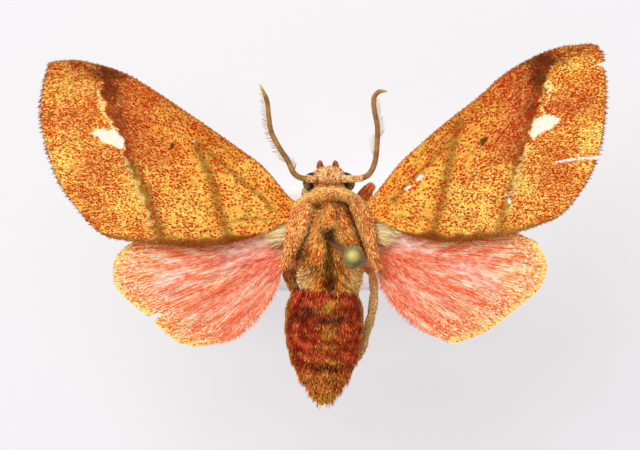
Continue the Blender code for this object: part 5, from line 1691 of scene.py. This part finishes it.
# %% Collar
COLLAR_POINTS = [(-2.4, 2.65), (-1.8, 3.15), (-1.0, 3.58), (0.2, 3.82), (1.2, 3.66), (2.0, 3.2), (2.6, 2.6)]
COLLAR_HALVES = (0.4, 0.38, 0.4)
COLLAR_HEIGHT = 0.34
COLLAR_TUFTS = 5200


def collar_hair(line):
    draw, count = default_rng(45), COLLAR_TUFTS
    share, across, roots, ups, places = strap_roots(line, COLLAR_HALVES, COLLAR_HEIGHT, count, draw)
    lies = np.stack([0.5 * roots[:, 0], -0.8 - 0.5 * across, 0 * share], axis=1)
    lies += 0.22 * draw.normal(size=lies.shape)
    marks = paint_trunk(roots, draw)
    marks["shade"] = marks["shade"] * 0.3
    marks["pale"] = np.maximum(marks["pale"], 0.6 * (across < -0.3) * some(draw, count, 0.6))
    width, rise = bolder(marks, 0.07, 0.14)
    length = 0.26 + 0.2 * soft_step(across, 0.3, 0.9)
    made = tufts("collar_hair", roots, ups, lies, length, width, rise, places, draw, bend=0.6, **marks)
    finish_piece(made, strap_coat)


collar_line = smooth_line(COLLAR_POINTS)
strap("collar", collar_line, COLLAR_HALVES, COLLAR_HEIGHT)
collar_hair(collar_line)

# %% Shoulder flaps
SIDES = {"left": LEFT, "right": RIGHT}
FLAP_POINTS = {"left": [(-1.75, 3.0), (-2.05, 2.3), (-2.4, 1.4), (-2.68, 0.5), (-2.95, -0.4), (-3.35, -1.5)],
               "right": [(2.0, 3.1), (2.45, 2.5), (2.8, 1.6), (3.08, 0.7), (3.3, -0.3), (3.65, -1.5)]}
FLAP_HALVES = {"left": (0.75, 0.78, 0.1), "right": (0.6, 0.62, 0.1)}
FLAP_HEIGHT = 0.42
FLAP_TUFTS = 6600


def flap_hair(name, line, halves, side):
    draw, count = default_rng(46 + side), FLAP_TUFTS
    share, across, roots, ups, places = strap_roots(line, halves, FLAP_HEIGHT, count, draw)
    lies = np.stack([side * (0.22 + 0.12 * share), -np.ones(count), -0.05 * share], axis=1)
    lies += 0.14 * draw.normal(size=(count, 3))
    length = 0.32 + 0.6 * soft_step(share, 0.65, 1.0)
    marks = paint_trunk(roots, draw)
    marks["shade"] = marks["shade"] * 0.4
    marks["fleck"] = marks["fleck"] * some(draw, count, 0.9)
    width, rise = bolder(marks, 0.08, 0.17)
    made = tufts(name + "_hair", roots, ups, lies, length, width, rise, places, draw, bend=0.5, **marks)
    finish_piece(made, strap_coat)


for word, side in SIDES.items():
    name, line, halves = "shoulder_flap_" + word, smooth_line(FLAP_POINTS[word]), FLAP_HALVES[word]
    strap(name, line, halves, FLAP_HEIGHT)
    flap_hair(name, line, halves, side)

# %% [markdown]
# Where the two wings of a side leave the body, long pale hair fans out between them and covers the
# gap. Its roots sit on the trunk's side, and it lies over the hindwing's base.

# %% Hair at the wing roots
ROOT_TUFTS = 1500
ROOT_HAIR_LENGTH = 1.9


def root_hair(word, side):
    draw, count = default_rng(48 + side), ROOT_TUFTS
    roots = np.column_stack([side * draw.uniform(2.5, 3.4, count) + 0.1, draw.uniform(0.1, 1.7, count),
                             WING_PLANE - draw.uniform(0.05, 0.7, count)])
    ups = np.tile((0.0, 0.0, 1.0), (count, 1))
    lies = np.column_stack([np.full(count, side), 0.12 * roots[:, 1] - 0.2, np.zeros(count)])
    marks = {"fleck": 0.8 * some(draw, count, 0.2), "shade": 0.5 * some(draw, count, 0.1),
             "pale": 0.8 * some(draw, count, 0.4)}
    lies = lies + 0.1 * draw.normal(size=lies.shape)
    places = np.stack([(roots[:, 1] + 1) / 3, draw.uniform(size=count)], axis=1)
    made = tufts(f"root_hair_{word}", roots, ups, lies, ROOT_HAIR_LENGTH, 0.06, 0.05, places, draw, **marks)
    finish_piece(made, root_coat)


for word, side in SIDES.items():
    root_hair(word, side)


# %% [markdown]
# ## Limbs: palps, feelers and legs
#
# An insect's limb is a chain of stiff tubes. One helper draws a tapered tube along a smooth line, and
# its rings never twist. Joints are narrow places in it, and short tufts cover it.

# %% Tube helper
TUBE_SIDES = 16


def tube_frames(line):
    """For each point of a line: the way ahead and two directions across it that don't twist."""
    ahead = unit(np.gradient(line, axis=0))
    side = np.zeros_like(line)
    side[0] = unit(np.cross(ahead[0], (0.05, 0.1, 1.0)))
    for i in range(1, len(line)):
        side[i] = unit(side[i - 1] - ahead[i] * (side[i - 1] @ ahead[i]))
    return ahead, side, np.cross(ahead, side)


def tube(line, radii):
    """A closed, round, tapered tube along a line."""
    _, side, over = tube_frames(line)
    turn = np.linspace(0, 2 * math.pi, TUBE_SIDES, endpoint=False)
    rings = (line[:, None] + radii[:, None, None] * (np.cos(turn)[None, :, None] * side[:, None]
                                                     + np.sin(turn)[None, :, None] * over[:, None]))
    points = np.vstack([rings.reshape(-1, 3), line[:1], line[-1:]])
    around = np.arange(TUBE_SIDES)
    after = (around + 1) % TUBE_SIDES
    faces = []
    for k in range(len(line) - 1):
        low, high = k * TUBE_SIDES, (k + 1) * TUBE_SIDES
        faces += [np.stack([low + around, low + after, high + after], 1),
                  np.stack([low + around, high + after, high + around], 1)]
    last = (len(line) - 1) * TUBE_SIDES
    faces += [np.stack([after, around, np.full(TUBE_SIDES, len(points) - 2)], 1),
              np.stack([last + around, last + after, np.full(TUBE_SIDES, len(points) - 1)], 1)]
    return points, np.vstack(faces)


def tube_tufts(name, line, radii, gap, length, width, rise, seed, slant=0.0):
    """Short tufts all over a tube, lying towards its tip."""
    draw = default_rng(seed)
    ahead, side, over = tube_frames(line)
    count = int(2 * math.pi * float(np.mean(radii)) * steps_of(line).sum() / gap**2)
    share, turn = draw.uniform(0.01, 0.98, count), draw.uniform(0, 2 * math.pi, count)
    outward = (np.cos(turn)[:, None] * at_share(line, share, side)
               + np.sin(turn)[:, None] * at_share(line, share, over))
    radius = at_share(line, share, radii[:, None])
    roots = at_share(line, share) + outward * radius * 0.97
    lies = at_share(line, share, ahead) + slant * outward + 0.12 * draw.normal(size=(count, 3))
    places = np.stack([share, turn / (2 * math.pi)], axis=1)
    marks = {"fleck": some(draw, count, 0.3) * 0.8, "shade": 0, "pale": some(draw, count, 0.25) * 0.7}
    return tufts(name, roots, unit(outward), lies, length, width, rise, places, draw, bend=0.6, sunk=0.03,
                 **marks)


# The same marks on every point, for a body under tufts, with a tone and tip share that make it a little
# darker than the tufts: painted shade
PLAIN_MARKS = {"tone": 0.4, "tip": 0.6, "fleck": 0, "pale": 0}


print("a tube has", TUBE_SIDES, "sides")

# %% Palps
PALP_PATH = [(0.6, 5.2, -1.85), (0.62, 5.8, -1.6), (0.62, 6.15, -1.0), (0.58, 6.25, -0.35)]
PALP_RADII = (0.2, 0.25, 0.14, 0.02)
PALP_SHIFT = -0.1

palp_coat = make_coat_material("palp_coat", "#F49A58", "#D8361A", "#7E3414", "#FFE6AC", root=1.0)
for word, side in SIDES.items():
    name = "palp_" + word
    line = smooth_line([(side * x + PALP_SHIFT, y, HEAD_CENTRE[2] + z) for x, y, z in PALP_PATH], 8)
    radii = np.interp(np.linspace(0, 3, len(line)), range(4), PALP_RADII)
    palp = new_piece(name + "_core", *tube(line, radii))
    store(palp, **PLAIN_MARKS, shade=0)
    finish_piece(palp, palp_coat, [name])
    coat = tube_tufts(name + "_tufts", line, radii, 0.07, 0.26, 0.075, 0.1, 52 + side)
    finish_piece(coat, palp_coat)

# %% [markdown]
# ### Feelers
#
# The feelers of this moth are combs: a scaled stem with a pair of slender branches on each joint,
# which read as a thick tan cord with fine teeth. Each branch is one long tuft, slanted to the tip.

# %% Feelers
ANTENNA_SOCKET = (0.95, 4.85, 0.72)
ANTENNA_PATHS = {
    "left": [(-2.2, 4.95, 0.85), (-2.85, 5.4, 0.8), (-3.3, 6.35, 0.75), (-4.05, 7.5, 0.8), (-4.6, 8.65, 0.9),
             (-4.8, 9.8, 1.0), (-4.95, 11.1, 1.1), (-5.5, 12.4, 1.2)],
    "right": [(2.6, 4.95, 0.85), (3.3, 5.4, 0.8), (3.7, 6.4, 0.75), (3.85, 8.0, 0.8), (3.85, 9.1, 0.9),
              (3.62, 10.3, 1.0), (3.57, 11.25, 1.1), (3.95, 11.8, 1.2), (4.65, 11.85, 1.2)]}
ANTENNA_RADII = (0.24, 0.19, 0.06)
BRANCH_PAIRS = 64
BRANCH_LENGTH, BRANCH_WIDTH = 0.58, 0.05
SCAPE_POINTS = {"left": 14, "right": 24}
# Where each side's outer and inner branches stand out from the stem, as shares of its length
OPEN_COMBS = {"left": ((0.36, 0.95), (0.25, 0.36)), "right": ((0.46, 0.74), (0.36, 0.46))}


def make_antenna_material():
    made, tree, shader = new_material("feeler", 0.6)
    place = object_place(tree)
    grained = place_group(tree, grain, Place=place, Size=0.07)
    base = mix(remap(noise(place, 0.5), 0.3, 0.7), "#8E5C22", "#BE8838")
    base = lay(base, ("pale", "#E9C878"),
               (remap(grained["Tone"], 0.2, 0.8, 0.0, 0.45), "#7A5224"))
    finish_grained(shader, base, grained, 0.4, 0.5, 0.72, shine=PLAIN_SHINE)
    return made


def comb(word, side, line, radii, draw):
    """The branches, two for each joint: open where the comb is seen, and folded up elsewhere."""
    ahead = tube_frames(line)[0]
    at = np.repeat(0.1 + 0.87 * (np.arange(BRANCH_PAIRS) + 0.5) / BRANCH_PAIRS, 2)
    k = (at * (len(line) - 1)).astype(int)
    outer = np.tile([True, False], BRANCH_PAIRS)
    low, high = np.where(outer[:, None], *OPEN_COMBS[word]).T
    opened = soft_step(at, low - 0.04, low + 0.04) * soft_step(at, high + 0.04, high - 0.04)
    flat = unit(np.cross(ahead[k], (0, 0, 1.0))) * np.where(outer, side, -side)[:, None]
    folded = unit(0.35 * flat + np.where(outer, 0.8, -0.8)[:, None] * np.array([(0, 0, 1.0)]))
    out = unit(opened[:, None] * flat + (1 - opened[:, None]) * folded)
    lies = out * (0.25 + 0.75 * opened[:, None]) + ahead[k] * 0.7 + 0.03 * draw.normal(size=out.shape)
    lengths = BRANCH_LENGTH * (0.6 + 0.4 * opened) * (1 - 0.55 * soft_step(at, 0.8, 1.0))
    ups = unit(np.cross(out, ahead[k]))
    places = np.stack([at, np.where(outer, 0.25, 0.75)], axis=1)
    roots = line[k] + out * radii[k, None] * 0.7
    return tufts(f"antenna_{word}_comb", roots, ups, lies, lengths, BRANCH_WIDTH, 0.02, places, draw,
                 sunk=0.0, pale=0.2 + 0.5 * soft_step(at, 0.6, 1.0))


def feeler(word, side):
    path = [(side * ANTENNA_SOCKET[0], *ANTENNA_SOCKET[1:]), *ANTENNA_PATHS[word]]
    line = smooth_line(path, 24) + (0, 0, WING_PLANE)
    share = np.linspace(0, 1, len(line))
    radii = np.interp(share, (0, 0.9, 1), ANTENNA_RADII)
    radii *= 1 + 0.07 * np.sin(share * 2 * math.pi * BRANCH_PAIRS)
    stem = new_piece(f"antenna_{word}_stem", *tube(line, radii))
    store(stem, pale=np.append(np.repeat(soft_step(share, 0.9, 1.0), TUBE_SIDES), [0.0, 1.0]))
    finish_piece(stem, antenna_material, ["antenna_" + word])
    branches = comb(word, side, line, radii, default_rng(60 + side))
    finish_piece(branches, antenna_material)
    last = SCAPE_POINTS[word]
    scape = tube_tufts(f"antenna_{word}_base", line[:last], radii[:last], 0.07, 0.22, 0.075, 0.08, 64 + side)
    finish_piece(scape, head_coat)


antenna_material = make_antenna_material()
for word, side in SIDES.items():
    feeler(word, side)

# %% [markdown]
# ### Legs
#
# The legs are folded under the body, and little of them shows from above. They are still complete,
# because a museum model is looked at from every side: hip, thigh, shin and a slender, jointed foot.

# %% Legs
LEGS = {
    "foreleg_left": [(-1.0, 1.9, -2.9), (-1.6, 2.9, -3.9), (-1.9, 3.9, -4.0), (-1.7, 3.9, -4.9),
                     (-1.3, 2.8, -5.4), (-0.9, 1.6, -5.5)],
    "foreleg_right": [(1.2, 1.9, -2.8), (2.2, 2.8, -3.2), (3.15, 4.1, -2.0), (3.4, 4.1, -3.1),
                      (2.8, 2.9, -4.1), (1.7, 2.1, -4.7)],
    "midleg_left": [(-1.35, -0.4, -2.9), (-2.4, 0.4, -3.9), (-3.4, 0.3, -4.1), (-3.3, -0.9, -4.8),
                    (-2.6, -2.4, -5.4), (-1.8, -3.8, -5.7)],
    "midleg_right": [(1.3, -0.4, -2.9), (2.4, 0.4, -3.9), (3.4, 0.3, -4.1), (3.3, -0.9, -4.8),
                     (2.6, -2.4, -5.4), (1.8, -3.8, -5.7)],
    "hindleg_left": [(-1.2, -2.2, -2.7), (-2.4, -1.7, -3.6), (-3.05, -1.9, -2.75), (-3.1, -3.2, -2.6),
                     (-2.5, -4.6, -3.4), (-1.75, -6.3, -4.3), (-1.2, -7.7, -4.8)],
    "hindleg_right": [(1.2, -2.3, -2.7), (2.4, -2.1, -3.5), (3.4, -2.6, -2.7), (3.64, -4.1, -2.5),
                      (3.46, -5.9, -2.6), (3.02, -7.6, -2.8), (2.8, -8.8, -3.0), (2.35, -9.75, -3.2)],
}
LEG_SPAN = 14
LEG_RADII = (0.34, 0.34, 0.31, 0.24, 0.18, 0.1)
# The right hind leg and the thighs that show from above are broader
BROAD_RADII = {"hindleg_left": (0.36, 0.6, 0.6, 0.32, 0.2, 0.1),
               "foreleg_right": (0.34, 0.52, 0.36, 0.24, 0.15, 0.1),
               "hindleg_right": (0.34, 0.32, 0.34, 0.33, 0.24, 0.12)}
# The left thigh and the right knee have coats of their own, with longer tufts
LEG_COATS = {"hindleg_left": thigh_coat, "foreleg_right": knee_coat}
SHORT_TUFT, LONG_TUFT = 0.24, 0.4
FOOT_START, FOOT_JOINTS = 0.62, 13


def leg(name, seed):
    joints = np.array(LEGS[name]) + (0, 0, WING_PLANE)
    line = smooth_line(joints, LEG_SPAN)
    share = np.linspace(0, 1, len(line))
    radii = np.interp(share, np.linspace(0, 1, len(LEG_RADII)), BROAD_RADII.get(name, LEG_RADII))
    for joint in joints[1:-1]:
        radii = radii * (1 - 0.22 * bell(np.linalg.norm(line - joint, axis=1), 0, 0.22))
    foot = share > FOOT_START
    radii[foot] *= 1 + 0.12 * np.sin(share[foot] * 2 * math.pi * FOOT_JOINTS)
    body = new_piece(name + "_shell", *tube(line, radii))
    store(body, **PLAIN_MARKS, shade=0.2)
    coat = LEG_COATS.get(name, leg_coat)
    finish_piece(body, coat, [name])
    length = LONG_TUFT if name in LEG_COATS else SHORT_TUFT
    tufted = tube_tufts(name + "_scales", line, radii, 0.085, length, 0.075, 0.1, seed, slant=0.15)
    finish_piece(tufted, coat)


for seed, name in enumerate(LEGS):
    leg(name, 70 + seed)

# %% [markdown]
# ## Eyes
#
# A moth's eye is a dome of thousands of small lenses, dark, with an olive bloom. The dome is a fine
# sphere. A Voronoi texture gives the lenses, as a bump that breaks the highlight, and the bloom grows
# with the distance from the head.

# %% Eyes
EYE_RADIUS = 0.84
EYE_PLACE = (1.27, 4.6, WING_PLANE - 0.62)
LENS_SIZE, LENS_DEPTH = 0.045, 0.008


def ball(name, centre, axes):
    """A fine, smooth ball: a sphere that a round of subdivision makes rounder."""
    obj = oval(name, centre, axes)
    apply_modifier(obj, "SUBSURF", levels=1, render_levels=1)
    shade_smooth(obj)
    return obj


def make_eye_material(word, side, centre):
    made, tree, shader = new_material("eye_" + word, 0.35)
    place = object_place(tree)
    lenses = put(tree, "ShaderNodeTexVoronoi", {"Vector": place, "Scale": 1 / (LENS_SIZE * MM)})
    middle = put(tree, "ShaderNodeVectorMath", {0: place, 1: [v * MM for v in centre]}, operation="SUBTRACT")
    apart = put(tree, "ShaderNodeSeparateXYZ", {0: middle.outputs[0]})
    outward = calc("MULTIPLY", apart.outputs["X"], side / (EYE_RADIUS * MM))
    bloom = remap(outward, 0.1, 0.7)
    spots = remap(noise(place, 0.4), 0.48, 0.62, 0.0, 0.75)
    base = lay(mix(bloom, "#1E1A0C", "#857848"), (spots, "#2C2610"))
    wire(shader, Base_Color=base, Roughness=remap(bloom, 0, 1, 0.42, 0.6),
         Specular_IOR_Level=0.15, Normal=bump(lenses.outputs["Distance"], 0.3, LENS_DEPTH, invert=True))
    return made


for word, side in SIDES.items():
    centre = (side * EYE_PLACE[0], *EYE_PLACE[1:])
    eye = ball(f"eye_{word}_dome", centre, (EYE_RADIUS,) * 3)
    eye.data.name = eye.name
    finish_piece(eye, make_eye_material(word, side, centre), ["eye_" + word])

# %% [markdown]
# ## Pin and base
#
# An entomological pin is a thin steel wire with a small head of coloured glass or resin. The CAD's
# shaft is already true, so it stays and gets a brushed steel. The head is made again as a finer ball,
# whose colour has a painted highlight near its top and painted shade towards its rim. The base is a
# small block of painted wood.

# %% Pin head
PIN_HEAD_RADIUS, PIN_HEAD_FLAT = 0.88, 0.99
# How far the painted highlight sits from the middle of the pin head's top, in millimetres
HIGHLIGHT_SHIFT = (-0.1, 0.15)

low, high = (np.array(corner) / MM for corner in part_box("pin_head"))
pin_middle = (low + high) / 2
pin_middle[2] = high[2] - PIN_HEAD_RADIUS


def make_pin_head_material():
    made, tree, shader = new_material("pin_head_glass", 0.22)
    place = object_place(tree)
    swirl = noise(place, 0.7, detail=3.0, Distortion=1.5)
    base = mix(remap(swirl, 0.3, 0.7), "#665620", "#867632")
    # Painted highlight: a pale spot near the top of the head. Painted shade: darker towards the rim, away
    # from it
    highlight_place = [*(pin_middle[:2] + HIGHLIGHT_SHIFT), pin_middle[2] + PIN_HEAD_RADIUS]
    away = put(tree, "ShaderNodeVectorMath", {0: place, 1: [v * MM for v in highlight_place]}, operation="DISTANCE")
    away = away.outputs["Value"]
    base = lay(base, (remap(away, 0.75 * MM, 0.15 * MM), "#D2C068", 0.85),
               (remap(away, 0.8 * MM, 1.3 * MM), "#2E2C10"))
    wire(shader, Base_Color=base, Roughness=remap(noise(place, 0.25), 0.3, 0.7, 0.22, 0.4))
    return made


pin_axes = np.array([1, 1, PIN_HEAD_FLAT]) * PIN_HEAD_RADIUS
finish_piece(ball("pin_head_ball", pin_middle, pin_axes), make_pin_head_material(), ["pin_head"])


# %% Pin shaft and base
def make_pin_material():
    made, tree, shader = new_material("pin_steel", 0.3)
    place = object_place(tree)
    brushed = noise(stretched(place, 1.0, 1.0, 0.04), 0.05)
    dull = remap(noise(place, 3.0), 0.4, 0.7)
    wire(shader, Base_Color=mix(dull, "#8E877A", "#6A6052"), Metallic=1.0,
         Roughness=remap(brushed, 0.3, 0.7, 0.25, 0.45), Normal=bump(brushed, 0.15, 0.005))
    return made


def make_base_material():
    made, tree, shader = new_material("painted_base", 0.5)
    place = object_place(tree)
    fibres = noise(stretched(place, 0.08, 1.0, 1.0), 0.5)
    dust = noise(place, 2.5, detail=4.0)
    base = mix(remap(dust, 0.45, 0.75, 0.0, 0.5), "#FAFAFC", "#F2F1F2")
    wire(shader, Base_Color=base, Roughness=remap(dust, 0.3, 0.7, 0.42, 0.62),
         Normal=bump(fibres, 0.2, 0.03))
    return made


for node, material in (("pin_shaft", make_pin_material()), ("stand_base", make_base_material())):
    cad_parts[node].data.materials.clear()
    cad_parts[node].data.materials.append(material)
    print(node, "has", material.name)
